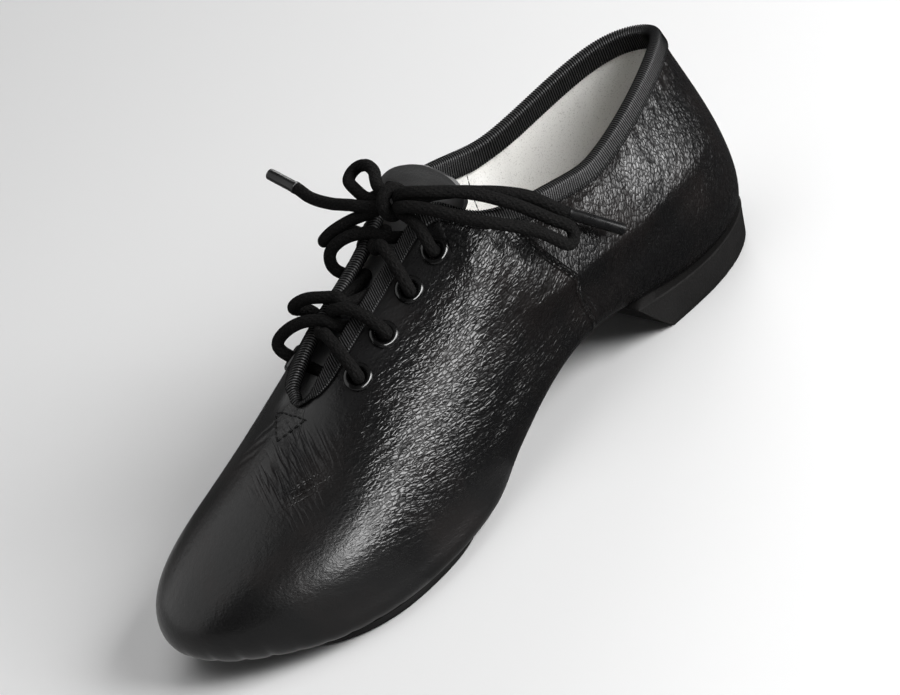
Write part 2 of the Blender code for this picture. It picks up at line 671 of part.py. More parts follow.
def seat_on_origin(root):
    # The middle of the shoe's footprint goes to the origin
    bpy.context.view_layer.update()
    corners = []
    for piece in bpy.data.objects:
        if piece.type == "MESH" and not piece.hide_render:
            corners.extend(piece.matrix_world @ Vector(c) for c in piece.bound_box)
    corners = np.array(corners)
    low = corners.min(0)
    high = corners.max(0)
    root.location = (-(low[0] + high[0]) / 2, -(low[1] + high[1]) / 2, -low[2])


def main():
    clear_scene()
    root = bpy.data.objects.new("shoe", None)
    bpy.context.collection.objects.link(root)
    leather = make_material("upper leather", (0.012, 0.012, 0.013), 0.42)
    enamel = make_material("eyelet", (0.008, 0.008, 0.009), 0.22, 0.3)
    eyelets = eyelet_places()
    make_upper(root, leather, eyelets)
    make_insole(root, make_material("insole board", (0.62, 0.61, 0.58), 0.9))
    make_heel(root, make_material("heel rubber", (0.015, 0.015, 0.015), 0.75))
    make_pad(root, make_material("forefoot rubber", (0.013, 0.013, 0.013), 0.7))
    make_tongue(root, make_material("tongue leather", (0.012, 0.012, 0.012), 0.5))
    make_binding(root, make_material("ribbon", (0.016, 0.016, 0.016), 0.8))
    for name, (base, axis) in eyelets.items():
        make_eyelet("eyelet_" + name, base, axis, enamel, root)
    cord = make_material("lace cord", (0.012, 0.012, 0.012), 0.9)
    for number in range(1, EYELET_COUNT + 1):
        make_crossing(number, eyelets, cord, root)
    seat_on_origin(root)
    make_bow(root, cord, make_material("aglet plastic", (0.02, 0.02, 0.02), 0.25))


main()
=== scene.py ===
import bpy
import numpy as np
from mathutils import Matrix, Vector


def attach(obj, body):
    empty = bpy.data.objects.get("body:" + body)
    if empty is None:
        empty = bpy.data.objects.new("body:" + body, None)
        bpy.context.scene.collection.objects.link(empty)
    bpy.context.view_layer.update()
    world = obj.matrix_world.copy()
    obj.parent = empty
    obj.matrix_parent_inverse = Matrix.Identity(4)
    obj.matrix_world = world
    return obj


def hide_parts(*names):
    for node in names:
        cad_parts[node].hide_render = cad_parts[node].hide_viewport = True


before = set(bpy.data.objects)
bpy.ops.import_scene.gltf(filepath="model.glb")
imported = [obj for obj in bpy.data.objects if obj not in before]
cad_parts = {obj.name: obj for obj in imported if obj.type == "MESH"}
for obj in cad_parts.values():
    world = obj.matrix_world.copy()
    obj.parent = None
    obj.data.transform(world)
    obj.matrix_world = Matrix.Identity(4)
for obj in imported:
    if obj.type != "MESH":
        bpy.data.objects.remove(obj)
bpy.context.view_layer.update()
print("frame loaded,", len(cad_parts), "solids")

mm = 0.001
heelBackToMiddle = np.array((-119.5, 1.774, 0.0)) * mm  # the shoe's sizes below start at the heel back


# small helpers: selecting, making sheets, finishing

def deselectAll():
    if bpy.context.mode != "OBJECT":
        bpy.ops.object.mode_set(mode="OBJECT")
    bpy.ops.object.select_all(action="DESELECT")


def makeActive(piece):
    deselectAll()
    piece.select_set(True)
    bpy.context.view_layer.objects.active = piece


def applyModifier(piece, kind, **values):
    makeActive(piece)
    modifier = piece.modifiers.new(kind.lower(), kind)
    for key, value in values.items():
        setattr(modifier, key, value)
    bpy.ops.object.modifier_apply(modifier=modifier.name)


def editAll(piece, *steps):
    # runs mesh operators, each with its values, on the whole of a piece
    makeActive(piece)
    bpy.ops.object.mode_set(mode="EDIT")
    bpy.ops.mesh.select_all(action="SELECT")
    for operator, values in steps:
        operator(**values)
    bpy.ops.object.mode_set(mode="OBJECT")


def mergeClose(piece, distance=2e-6):
    editAll(piece, (bpy.ops.mesh.remove_doubles, {"threshold": distance}), (bpy.ops.mesh.delete_loose, {}))


def faceOut(piece):
    editAll(piece, (bpy.ops.mesh.normals_make_consistent, {"inside": False}))


def smoothShade(piece, degrees):
    makeActive(piece)
    bpy.ops.object.shade_smooth_by_angle(angle=np.radians(degrees))


def formedSheet(name, points, closed=False, **marks):
    # a plain grid, pulled to rows of points in the shoe's sizes; marks are values kept on its points
    rows, columns = points.shape[:2]
    deselectAll()
    bpy.ops.mesh.primitive_grid_add(x_subdivisions=columns - 1, y_subdivisions=rows - 1, size=1)
    sheet = bpy.context.object
    sheet.name = name
    sheet.data.name = name
    flat = np.empty(len(sheet.data.vertices) * 3)
    sheet.data.vertices.foreach_get("co", flat)
    flat = flat.reshape(-1, 3) + 0.5
    column = np.rint(flat[:, 0] * (columns - 1)).astype(int)
    row = np.rint(flat[:, 1] * (rows - 1)).astype(int)
    placed = points[row, column] + heelBackToMiddle
    sheet.data.vertices.foreach_set("co", placed.ravel())
    for mark, values in marks.items():
        kind, field = ("FLOAT_VECTOR", "vector") if values.ndim == 3 else ("FLOAT", "value")
        kept = sheet.data.attributes.new(mark, kind, "POINT")
        kept.data.foreach_set(field, values[row, column].ravel())
    sheet.data.update()
    if closed:
        mergeClose(sheet)
    return sheet


def dress(piece, degrees, finish, slotName, *nodes):
    # smooth shading up to an angle, a finish, and what the piece stands for
    smoothShade(piece, degrees)
    piece.data.materials.clear()
    piece.data.materials.append(finishes[finish])
    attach(piece, "root")
    if nodes:
        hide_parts(*nodes)


# finishes: each is a tree of nodes that ends in one shader

class Finish:
    def __init__(self, name, colour, roughness, gloss=0.5):
        self.material = bpy.data.materials.new(name)
        self.material.use_nodes = True
        self.tree = self.material.node_tree
        self.shader = self.tree.nodes["Principled BSDF"].inputs
        self.shader["Base Color"].default_value = (*colour, 1)
        self.shader["Roughness"].default_value = roughness
        self.shader["Specular IOR Level"].default_value = gloss

    def join(self, value, socket):
        if isinstance(value, bpy.types.NodeSocket):
            self.tree.links.new(value, socket)
        else:
            socket.default_value = value

    def node(self, kind, sockets, **settings):
        made = self.tree.nodes.new("ShaderNode" + kind)
        for key, value in settings.items():
            setattr(made, key, value)
        for key, value in sockets.items():
            self.join(value, made.inputs[key])
        return made.outputs

    def calculate(self, operation, first, second=0.0):
        return self.node("Math", {0: first, 1: second}, operation=operation)["Value"]

    def plus(self, first, second):
        return self.calculate("ADD", first, second)

    def minus(self, first, second):
        return self.calculate("SUBTRACT", first, second)

    def times(self, first, second):
        return self.calculate("MULTIPLY", first, second)

    def mapped(self, source, low, high, toLow=0.0, toHigh=1.0, way="LINEAR"):
        sockets = {"Value": source, "From Min": low, "From Max": high, "To Min": toLow, "To Max": toHigh}
        return self.node("MapRange", sockets, interpolation_type=way)["Result"]

    def eased(self, source, *limits):
        return self.mapped(source, *limits, way="SMOOTHSTEP")

    def noise(self, vector, scale, detail=2.0, output="Fac"):
        return self.node("TexNoise", {"Vector": vector, "Scale": scale, "Detail": detail})[output]

    def mark(self, name, output="Fac"):
        return self.node("Attribute", {}, attribute_name=name)[output]

    def places(self):
        return self.node("TexCoord", {})["Object"]

    def stretched(self, vector, scale):
        return self.node("Mapping", {"Vector": vector, "Scale": scale})["Vector"]

    def creaseLines(self, degrees, step, width):
        # 0 along winding lines on a grid turned about the upright, 1 away from them
        turned = {"Vector": self.places(), "Rotation": (0, 0, np.radians(degrees)), "Scale": step}
        grid = self.node("Mapping", turned, vector_type="TEXTURE")["Vector"]
        off = self.calculate("ABSOLUTE", self.minus(self.noise(grid, 1.0, 1.0), 0.5))
        return self.eased(off, 0.0, width)

    def cellTops(self, vector, perMetre):
        # 1 on the tops of rounded cells, 0 along the lines between them
        sockets = {"Vector": self.stretched(vector, perMetre), "Scale": 1.0, "Randomness": 0.9}
        cells = self.node("TexVoronoi", sockets, feature="DISTANCE_TO_EDGE")
        return self.eased(cells["Distance"], 0.0, 0.3)

    def bump(self, height, strength, distance):
        sockets = {"Height": height, "Strength": strength, "Distance": distance}
        self.join(self.node("Bump", sockets)["Normal"], self.shader["Normal"])

    def blend(self, factor, first, second):
        sockets = {"Factor": factor, "A": (*first, 1), "B": (*second, 1)}
        self.join(self.node("Mix", sockets, data_type="RGBA")["Result"], self.shader["Base Color"])


leatherLook = {"black": (0.0042, 0.0041, 0.0043), "warm": (0.0085, 0.0066, 0.0062), "gloss": (0.015, 0.36),
               "rowsPerMetre": (190, 570, 570), "pebblesPerMetre": (470, 1020, 1020),
               "wanderPerMetre": 70.0, "wander": (0.0026, 0.0026, 0.0026), "swellPerMetre": 110,
               "poresPerMetre": 3200, "patchesPerMetre": 42, "depth": 0.00017,
               # heights of the pebbles, their rows and the pores, where the swell's is 1
               "pebbleHeight": 0.3, "rowHeight": 2.0, "poreHeight": 0.1,
               # light between the pebbles and between their rows: heights from and to, light from and to
               "pebbleLight": (0.0, 0.45, 0.15, 1.0), "rowLight": (0.36, 0.52, 0.45, 1.0),
               "roughness": (0.18, 0.25), "valleyRough": 0.16, "smoothRough": 0.12,
               # fine lines: the mark that shows them, how they are turned, their step across and along
               "lines": (("wrinkled", -30, (0.0019, 0.015, 0.015)), ("folded", 58, (0.0017, 0.03, 0.03))),
               "lineWidth": 0.13, "lineDepth": 1.1, "lineShade": 0.4,
               # side seam: two rolled edges with a groove between them, mm off its line and height
               "seamRise": (0.1, 0.6, 0.0, 2.0), "seamFall": (0.9, 1.8, 1.0, 0.0)}


def pebbledLeather():
    look = leatherLook
    hide = Finish("pebbledLeather", look["black"], 0.3)
    place = hide.mark("grainPlace", "Vector")
    grain = hide.mark("grainStrength")
    wander = hide.noise(place, look["wanderPerMetre"], 1.0, "Color")
    wound = {0: wander, 1: look["wander"], 2: place}
    winding = hide.node("VectorMath", wound, operation="MULTIPLY_ADD")["Vector"]
    pebble = hide.cellTops(winding, look["pebblesPerMetre"])
    rows = hide.noise(hide.stretched(winding, look["rowsPerMetre"]), 1.0, 1.5)
    raised = hide.plus(hide.times(pebble, look["pebbleHeight"]), hide.times(rows, look["rowHeight"]))
    swell = hide.plus(hide.noise(place, look["swellPerMetre"], 1.0), raised)
    pores = hide.times(hide.noise(place, look["poresPerMetre"]), look["poreHeight"])
    height = hide.plus(hide.times(swell, grain), pores)
    # 1 on the pebbles' tops and on smooth leather, less in the valleys
    lit = hide.times(hide.mapped(pebble, *look["pebbleLight"]), hide.mapped(rows, *look["rowLight"]))
    top = hide.minus(1.0, hide.times(hide.minus(1.0, lit), grain))
    for mark, degrees, step in look["lines"]:
        line = hide.creaseLines(degrees, step, look["lineWidth"])
        sunk = hide.times(hide.minus(line, 1.0), hide.mark(mark))
        height = hide.plus(height, hide.times(sunk, look["lineDepth"]))
        top = hide.plus(top, hide.times(sunk, look["lineShade"]))
    off = hide.calculate("ABSOLUTE", hide.mark("seamOff"))
    rolled = hide.times(hide.eased(off, *look["seamRise"]), hide.eased(off, *look["seamFall"]))
    hide.bump(hide.plus(height, rolled), 1.0, look["depth"])
    patches = hide.noise(place, look["patchesPerMetre"], 3.0)
    rough = hide.mapped(patches, 0.3, 0.7, *look["roughness"])
    rough = hide.plus(rough, hide.mapped(top, 0.0, 1.0, look["valleyRough"], 0.0))
    rough = hide.plus(rough, hide.mapped(grain, 0.0, 1.0, look["smoothRough"], 0.0))
    hide.join(rough, hide.shader["Roughness"])
    hide.join(hide.mapped(top, 0.0, 0.8, *look["gloss"]), hide.shader["Specular IOR Level"])
    hide.blend(hide.mapped(patches, 0.45, 0.75), look["black"], look["warm"])
    return hide.material


liningLook = {"cloth": (0.70, 0.69, 0.66), "speck": (0.60, 0.585, 0.555), "pale": (0.86, 0.85, 0.82),
              "specksPerMetre": 2100, "speckRange": (0.28, 0.44), "depth": 0.0002}


def speckledLining():
    look = liningLook
    cloth = Finish("speckledLining", look["cloth"], 0.85)
    specks = cloth.noise(cloth.places(), look["specksPerMetre"])
    cloth.blend(cloth.mapped(specks, *look["speckRange"]), look["speck"], look["pale"])
    cloth.bump(specks, 0.3, look["depth"])
    return cloth.material


# ribbon colours: the dark colour of the gaps between the ribs is painted shade, and the lighter colour of
# the ridges is a painted highlight
ribbonLook = {"paintedGapShade": (0.0016, 0.0016, 0.0017), "ridge": (0.042, 0.042, 0.043), "threadsPerMetre": 2600,
              "unevenRidgeLight": (0.45, 1.15), "gloss": (0.02, 0.36), "depth": 0.00015}


def ribbonWeave():
    look = ribbonLook
    weave = Finish("ribbonWeave", look["ridge"], 0.42)
    threads = weave.noise(weave.places(), look["threadsPerMetre"])
    unevenRidgeLight = weave.mapped(threads, 0.3, 0.7, *look["unevenRidgeLight"])
    ridge = weave.mapped(weave.mark("ridge"), 0.25, 0.95)
    # the ribs' ridges are painted lighter and their gaps darker (painted highlight and painted shade), made
    # uneven by noise at the thread scale
    weave.blend(weave.times(ridge, unevenRidgeLight), look["paintedGapShade"], look["ridge"])
    weave.join(weave.mapped(ridge, 0.0, 1.0, *look["gloss"]), weave.shader["Specular IOR Level"])
    weave.bump(threads, 0.4, look["depth"])
    return weave.material


laceLook = {"black": (0.0045, 0.0044, 0.0044), "dusty": (0.0135, 0.0130, 0.0128), "strandsAround": 8.0,
            "platPitch": 0.0026, "platHeight": 0.35, "fluffPerMetre": 2300, "depth": 0.0004}


def cottonLace():
    look = laceLook
    cotton = Finish("cottonLace", look["black"], 0.92, 0.04)
    split = cotton.node("SeparateXYZ", {"Vector": cotton.mark("alongAround", "Vector")})
    along = cotton.times(split["X"], 2 * np.pi / look["platPitch"])
    around = cotton.times(split["Y"], look["strandsAround"])
    one = cotton.calculate("SINE", cotton.plus(along, around))
    two = cotton.calculate("SINE", cotton.minus(along, around))
    plat = cotton.times(cotton.calculate("MAXIMUM", one, two), look["platHeight"])
    fluff = cotton.noise(cotton.places(), look["fluffPerMetre"], 3.0)
    cotton.bump(cotton.plus(plat, fluff), 0.8, look["depth"])
    cotton.blend(cotton.mapped(fluff, 0.4, 0.75), look["black"], look["dusty"])
    return cotton.material


# plainer finishes: name, colour, colour of its lighter patches, roughness, grains in a metre, depth, gloss
grainyLooks = {
    "tongue": ("tongueLeather", (0.10, 0.10, 0.1003), (0.135, 0.135, 0.1353), 0.72, 1500, 0.0004, 0.25),
    "heel": ("heelRubber", (0.006, 0.0057, 0.0056), (0.010, 0.0095, 0.0093), 0.75, 1300, 0.0006, 0.1),
    "pad": ("padRubber", (0.006, 0.0058, 0.0057), (0.009, 0.0088, 0.0087), 0.6, 1200, 0.0002, 0.1),
    "sock": ("insoleCloth", (0.50, 0.49, 0.46), (0.60, 0.59, 0.56), 0.9, 1600, 0.0003, 0.5),
    "enamel": ("eyeletEnamel", (0.0035, 0.0035, 0.0035), (0.005, 0.005, 0.005), 0.14, 300, 0.00002, 0.45),
    "thread": ("sewingThread", (0.003, 0.003, 0.003), (0.006, 0.006, 0.006), 0.6, 2600, 0.0001, 0.15),
    "sleeve": ("laceTipSleeve", (0.005, 0.005, 0.0054), (0.008, 0.008, 0.008), 0.3, 500, 0.00004, 0.3),
}
grainsInPatch = 25
roughSpread = 0.08


def grainyFinish(name, colour, lighter, roughness, grainsPerMetre, depth, gloss):
    plain = Finish(name, colour, roughness, gloss)
    place = plain.places()
    grain = plain.noise(place, grainsPerMetre, 3.0)
    patches = plain.noise(place, grainsPerMetre / grainsInPatch)
    plain.blend(plain.mapped(patches, 0.3, 0.7), colour, lighter)
    plain.bump(grain, 0.5, depth)
    rough = plain.mapped(grain, 0.3, 0.7, roughness - roughSpread, roughness + roughSpread)
    plain.join(rough, plain.shader["Roughness"])
    return plain.material


finishes = {"leather": pebbledLeather(), "lining": speckledLining(), "ribbon": ribbonWeave(),
            "lace": cottonLace()}
for key, look in grainyLooks.items():
    finishes[key] = grainyFinish(*look)
print("finishes made,", len(finishes))


# the last: one row for each section from the heel back to the toe tip, mm
lastColumns = ("outX", "outLat", "outMed", "wideZ", "underZ", "tuck", "margin",
               "topX", "topLat", "topMed", "topZ", "lean")
lastSections = {
    "heelBack": (0, 0, 0, 30, 12, 5, 9, 3, 0, 0, 72, 80),
    "heelCorner": (9.5, 21, -20, 30, 12, 5, 9, 13, 12, -12.5, 72.5, 80),
    "heelSide": (34, 30.5, -28, 29, 12, 6, 9, 37, 20.5, -21, 69, 78),
    "counter": (60, 30, -28, 28, 14, 9, 9, 60, 25, -25.5, 66.5, 75),
    "waistBack": (85, 30, -27, 28, 18.5, 13, 9, 78, 27, -28, 70, 65),
    "waist": (108, 32.5, -28, 27, 16.5, 13, 9, 103, 24.5, -24, 78, 51),
    "facing": (127.5, 34.5, -31, 24, 10, 10, 9, 110.5, 12, -10.5, 84, 44),
    "instep": (147, 36, -36, 20, 4.8, 7, 9, 128.5, 7, -7, 76, 41),
    "ballLat": (165.5, 37.5, -40, 17, 3.3, 5, 9, 151.5, 6.5, -6.5, 68, 38),
    "ballMed": (190, 36, -41, 15, 3.3, 5, 10, 167, 5, -5.5, 60, 34),
    "toeSide": (212.5, 26, -37, 14.5, 4, 6, 16, 170, 3.5, -3.5, 57.5, 29),
    "toeCorner": (231, 10, -29, 15, 5.5, 7, 20, 171.3, 1.8, -1.8, 56.5, 25),
    "toeTip": (239, -11, -11, 15, 7, 8, 22, 171.6, 0, 0, 56, 22.5),
}
last = {"sideFullness": 0.45, "edgeReach": 0.38, "tuckRoundness": 0.55, "spineBack": 28 * mm,
        "spineFront": 195 * mm, "archStart": 3, "archEnd": 7,
        # steps for directions, in sections and shares of a side; samples down a side and along the foot
        "stepAlong": 0.01, "stepDown": 0.01, "sideSamples": 61, "footSamples": 121}
toeTip = len(lastSections) - 1


def smoothThrough(knots, t, periodic):
    # cubic spline through knots at t = 0, 1, 2 and so on
    n = len(knots)
    system = 4 * np.eye(n)
    for i in range(n):
        system[i, (i - 1) % n] += 1
        system[i, (i + 1) % n] += 1
    right = 3 * (np.roll(knots, -1, 0) - np.roll(knots, 1, 0))
    if not periodic:
        system[0] = 0
        system[0, :2] = (2, 1)
        system[-1] = 0
        system[-1, -2:] = (1, 2)
        right[0] = 3 * (knots[1] - knots[0])
        right[-1] = 3 * (knots[-1] - knots[-2])
    slope = np.linalg.solve(system, right)
    t = np.atleast_1d(np.asarray(t, float))
    start = np.floor(t).astype(int)
    if not periodic:
        start = np.clip(start, 0, n - 2)
    f = (t - start)[:, None]
    a = start % n
    b = (start + 1) % n
    return ((2 * f**3 - 3 * f**2 + 1) * knots[a] + (f**3 - 2 * f**2 + f) * slope[a]
            + (3 * f**2 - 2 * f**3) * knots[b] + (f**3 - f**2) * slope[b])


def bezier(p0, p1, p2, p3, v):
    v = v[..., None]
    p0, p1, p2, p3 = (p[:, None] for p in (p0, p1, p2, p3))
    return (1 - v)**3 * p0 + 3 * (1 - v)**2 * v * p1 + 3 * (1 - v) * v**2 * p2 + v**3 * p3


def unit(vectors):
    return vectors / np.linalg.norm(vectors, axis=-1, keepdims=True)


def runAlong(line):
    # length along a line of points, up to each of them
    return np.concatenate([[0], np.cumsum(np.linalg.norm(np.diff(line, axis=0), axis=1))])


def pointsAt(stops, run, values):
    return np.stack([np.interp(stops, run, values[:, k]) for k in range(3)], 1)


def lastRing():
    rows = np.array(list(lastSections.values()), float)
    sizes = [name for name in lastColumns if name != "lean"]
    rows[:, [lastColumns.index(name) for name in sizes]] *= mm
    sides = []
    for hidden in ("Med", "Lat"):
        keep = [c for c, name in enumerate(lastColumns) if not name.endswith(hidden)]
        sides.append(rows[:, keep])
    return np.vstack([sides[0], sides[1][-2:0:-1]])


ringKnots = lastRing()
ringColumns = ("outX", "outY", "wideZ", "underZ", "tuck", "margin", "topX", "topY", "topZ", "lean")
ringCount = len(ringKnots)


def sectionsAt(t):
    return dict(zip(ringColumns, smoothThrough(ringKnots, t, True).T))


def widestLine(t):
    q = sectionsAt(t)
    return np.stack([q["outX"], q["outY"], q["wideZ"]], 1)


def inward(t):
    along = widestLine(t + 2 * last["stepAlong"]) - widestLine(t - 2 * last["stepAlong"])
    return unit(np.stack([along[:, 1], -along[:, 0], 0 * t], 1))


def sidePoints(t, v):
    # v is 0 at the collar or throat edge and 1 at the widest line
    q = sectionsAt(t)
    wide = widestLine(t)
    top = np.stack([q["topX"], q["topY"], q["topZ"]], 1)
    plan = unit(wide[:, :2] - top[:, :2])
    lean = np.radians(q["lean"])
    start = np.stack([plan[:, 0] * np.cos(lean), plan[:, 1] * np.cos(lean), -np.sin(lean)], 1)
    span = np.linalg.norm(wide - top, axis=1)
    rise = last["sideFullness"] * (q["topZ"] - q["wideZ"])
    first = top + start * (last["edgeReach"] * span)[:, None]
    second = wide + np.stack([0 * rise, 0 * rise, rise], 1)
    return bezier(top, first, second, wide, v)


def sideNormals(t, v):
    along = sidePoints(t + last["stepAlong"], v) - sidePoints(t - last["stepAlong"], v)
    down = sidePoints(t, v + last["stepDown"]) - sidePoints(t, v - last["stepDown"])
    return unit(np.cross(along, down))


def sideLengths(t):
    v = np.tile(np.linspace(0, 1, last["sideSamples"]), (len(t), 1))
    steps = np.linalg.norm(np.diff(sidePoints(t, v), axis=1), axis=2)
    return v[0], np.hstack([np.zeros((len(t), 1)), np.cumsum(steps, 1)])


def skin(t, down, lift=0.0):
    # points on the outside of the leather, `down` from its edge, `lift` off it
    t = np.atleast_1d(np.asarray(t, float))
    down = np.broadcast_to(np.asarray(down, float), (len(t), np.shape(down)[-1]))
    grid, lengths = sideLengths(t)
    v = np.stack([np.interp(d, length, grid) for d, length in zip(down, lengths)])
    edge = sidePoints(t, v * 0)
    dip = unit(sidePoints(t, v * 0 + last["stepDown"]) - edge)
    above = np.minimum(down, 0)[..., None] * dip
    return sidePoints(t, v) + above + sideNormals(t, v) * np.asarray(lift)[..., None]


def midlineY(x):
    t = np.linspace(0, toeTip, 49)
    lat = sectionsAt(t)
    med = sectionsAt(-t)
    return np.interp(x, lat["outX"], (lat["outY"] + med["outY"]) / 2)


def soleLine(x):
    q = sectionsAt(np.linspace(0, toeTip, last["footSamples"]))
    return np.interp(x, q["outX"], q["underZ"])


def turnedUnder(t, tuckRows, marginRows):
    # from the widest line round under the foot; under the arch both sides meet at the middle
    q = sectionsAt(t)
    wide = widestLine(t)
    towards = inward(t)
    turned = wide + towards * q["tuck"][:, None]
    turned[:, 2] = q["underZ"]
    down = np.stack([0 * t, 0 * t, q["wideZ"] - q["underZ"]], 1)
    first = wide - down * last["tuckRoundness"]
    second = turned - towards * (q["tuck"] * last["tuckRoundness"])[:, None]
    v = np.tile(np.linspace(0, 1, tuckRows + 1)[1:], (len(t), 1))
    tuck = bezier(wide, first, second, turned, v)
    spine = np.stack([np.clip(turned[:, 0], last["spineBack"], last["spineFront"]), 0 * t, 0 * t], 1)
    spine[:, 1] = midlineY(spine[:, 0])
    flat = spine - turned
    flat[:, 2] = 0
    inner = turned + unit(flat) * q["margin"][:, None]
    fromHeel = np.minimum(t % ringCount, ringCount - t % ringCount)
    arch = (fromHeel >= last["archStart"]) & (fromHeel <= last["archEnd"])
    mirrored = midlineSpine(fromHeel)
    inner[arch] = mirrored[arch]
    inner[:, 2] = soleLine(inner[:, 0])
    share = np.linspace(0, 1, marginRows + 1)[1:, None]
    return tuck, turned[:, None] + (inner - turned)[:, None] * share, turned


def midlineSpine(t):
    # the same point of the arch's middle seam for both sides
    x = np.zeros_like(t)
    for side in (t, -t):
        q = sectionsAt(side)
        x += (q["outX"] + inward(side)[:, 0] * q["tuck"]) / 2
    return np.stack([x, midlineY(x), 0 * x], 1)


# eyelets sit on the leather along its normal
eyelet = {"count": 4, "first": 6.22, "step": 0.65, "down": 12.5 * mm, "hole": 3.2 * mm,
          "holeReach": 4 * mm, "sides": 40,
          # the rolled flange and short barrel, mm: radius and height
          "profile": ((2.45, -2.1), (2.45, 0.45), (2.52, 0.85), (2.75, 1.12), (3.1, 1.24), (3.5, 1.2),
                      (3.95, 1.0), (4.28, 0.7), (4.4, 0.42), (4.32, 0.3), (3.7, 0.3), (3.08, 0.28),
                      (3.02, -2.1))}


def eyeletPlaces():
    places = {}
    for k in range(eyelet["count"]):
        t = eyelet["first"] + eyelet["step"] * (eyelet["count"] - 1 - k)
        for side, turn in (("lat", t), ("med", -t)):
            base = skin(turn, [eyelet["down"]])[0, 0]
            tip = skin(turn, [eyelet["down"]], 1.0)[0, 0]
            places[side, k + 1] = (base, unit(tip - base), turn)
    return places


places = eyeletPlaces()

# the upper: leather outside, lining inside, 1.6 mm together; heights, depths and widths of its forms in mm
upper = {"wall": 1.6 * mm, "edge": 0.9 * mm, "spokesPerSection": 26, "sideRows": 50, "tuckRows": 13,
         "marginRows": 7,
         # side seam: how far down from the edge, section; then the two layers' soft rise
         "seamLine": ((0, 4.70), (5.5, 4.66), (11, 4.55), (19, 4.38), (28, 4.18), (37, 4.13), (46, 4.08),
                      (90, 4.04)),
         "seamRise": 0.3, "seamHalf": 2.2,
         # the outer quarter's bulge: x, height of its crest, how far it stands out; its reach up and down
         "bulge": ((10, 43, 0), (26, 43, 0.7), (42, 42, 1.3), (60, 41, 2.0), (78, 43, 3.0), (90, 44.5, 3.4),
                   (100, 46, 2.2), (112, 47, 0)),
         "bulgeAbove": 17, "bulgeBelow": 5,
         # seam under the arch, its rise and its groove: height, distance from the middle, half width
         "archSeam": ((0.45, 1.5, 0.9), (-0.2, 0, 0.6)), "archFade": 0.5,
         # gathers under the toe and at its edge: sections from the toe tip, sections of fading, first row
         "gathersUnder": (3.3, 0.8, 5), "gathersEdge": (1.9, 0.6, -1), "gatherRows": 8, "edgeEnd": 0.3,
         "gatherPitch": 8.4 * mm, "gatherWander": (0.5, 17 * mm), "gatherDepth": 0.55,
         # the outer wall's foot over the pad: height, half height, how far out, from and to where along x
         "foot": (6.5, 4.0), "footOut": 2.0, "footFrom": (118, 150), "footTo": (205, 230),
         # puckers under the ribbon: how far down, half width, up to which section
         "pucker": (7.2, 2.4), "puckerSections": 5.2, "puckerPitch": 5.6 * mm, "puckerDepth": 0.16,
         "puckerWander": (1.3, 23 * mm),
         "creaseLip": 0.4, "lipOff": 1.4, "calmEdge": (4.5, 7.0)}
# how much of a normal has to point that way for a place to count
turnedTo = {"side": 0.25, "up": 0.15, "down": -0.6, "sideFully": 0.5}

# creases in the vamp, mm: start and end seen from above, depth and half width
vampCreases = (
    (177.5, 2, 182, 17, 0.3, 0.8), (180, 0.5, 185, 19.5, 0.34, 0.8),
    (182.6, 1.5, 187.5, 21, 0.3, 0.9), (185.4, 2, 190, 20, 0.36, 0.9),
    (188.2, 3.5, 192, 19, 0.28, 0.8), (190.8, 2, 194, 16, 0.26, 0.9),
    (193.5, 4, 196.5, 15, 0.22, 0.8), (184, 22, 195, 13, 0.34, 0.9),
    (186.5, 23, 196.5, 15.5, 0.26, 0.8), (179, -6, 186, -14, 0.24, 0.9),
    (183.5, -5, 190.5, -15, 0.26, 1), (188, -6, 194, -14, 0.2, 1),
)
# soft folds of the sides, mm: start and end seen from the side (x, z), which side, depth and half width
sideFolds = (
    (101, 74, 112, 52, 1, 0.55, 2.6), (112, 76, 124, 50, 1, -0.35, 3.4), (101, 73, 112, 50, -1, 0.5, 2.8),
    (52, 62, 58, 42, 1, 0.30, 2.2), (44, 63, 47, 44, 1, -0.22, 2.4), (50, 61, 57, 40, -1, 0.3, 2.4),
    (118, 34, 142, 24, 1, 0.40, 2.6), (116, 36, 138, 25, -1, 0.45, 2.8), (22, 62, 23, 46, -1, 0.22, 2.2),
)


def fadeIn(values, low, high):
    share = np.clip((values - low) / (high - low), 0, 1)
    return share * share * (3 - 2 * share)


def bell(values, middle, half):
    return np.exp(-((values - middle) / half)**2)


def waves(arc, pitch, wander):
    # phase of waves along an arc, which come a little early and late by turns
    return arc * np.pi / pitch + wander[0] * np.sin(arc / wander[1])


def seamSection(down):
    table = np.array(upper["seamLine"])
    return np.interp(down, table[:, 0] * mm, table[:, 1])


def seamOff(points, t, down):
    # mm in front of the side seam
    along = np.roll(points, -1, 0) - np.roll(points, 1, 0)
    perSection = np.linalg.norm(along, axis=2) / mm / 2 * upper["spokesPerSection"]
    return (np.minimum(t, ringCount - t)[:, None] - seamSection(down)) * perSection


def troughAlong(p, q, start, end, width):
    # how near each point (p, q) is to the line from start to end, fading at both ends
    start = np.array(start, float)
    run = np.array(end, float) - start
    length = np.linalg.norm(run)
    share = ((p - start[0]) * run[0] + (q - start[1]) * run[1]) / length**2
    off = ((p - start[0]) * run[1] - (q - start[1]) * run[0]) / length
    return bell(off, 0, width) * fadeIn(np.minimum(share, 1 - share) * 4 + 0.15, 0, 1)


def gathers(fromToe, row, where):
    sections, fade, firstRow = where
    return np.clip((sections - fromToe) / fade, 0, 1) * np.clip((row - firstRow) / upper["gatherRows"], 0, 1)


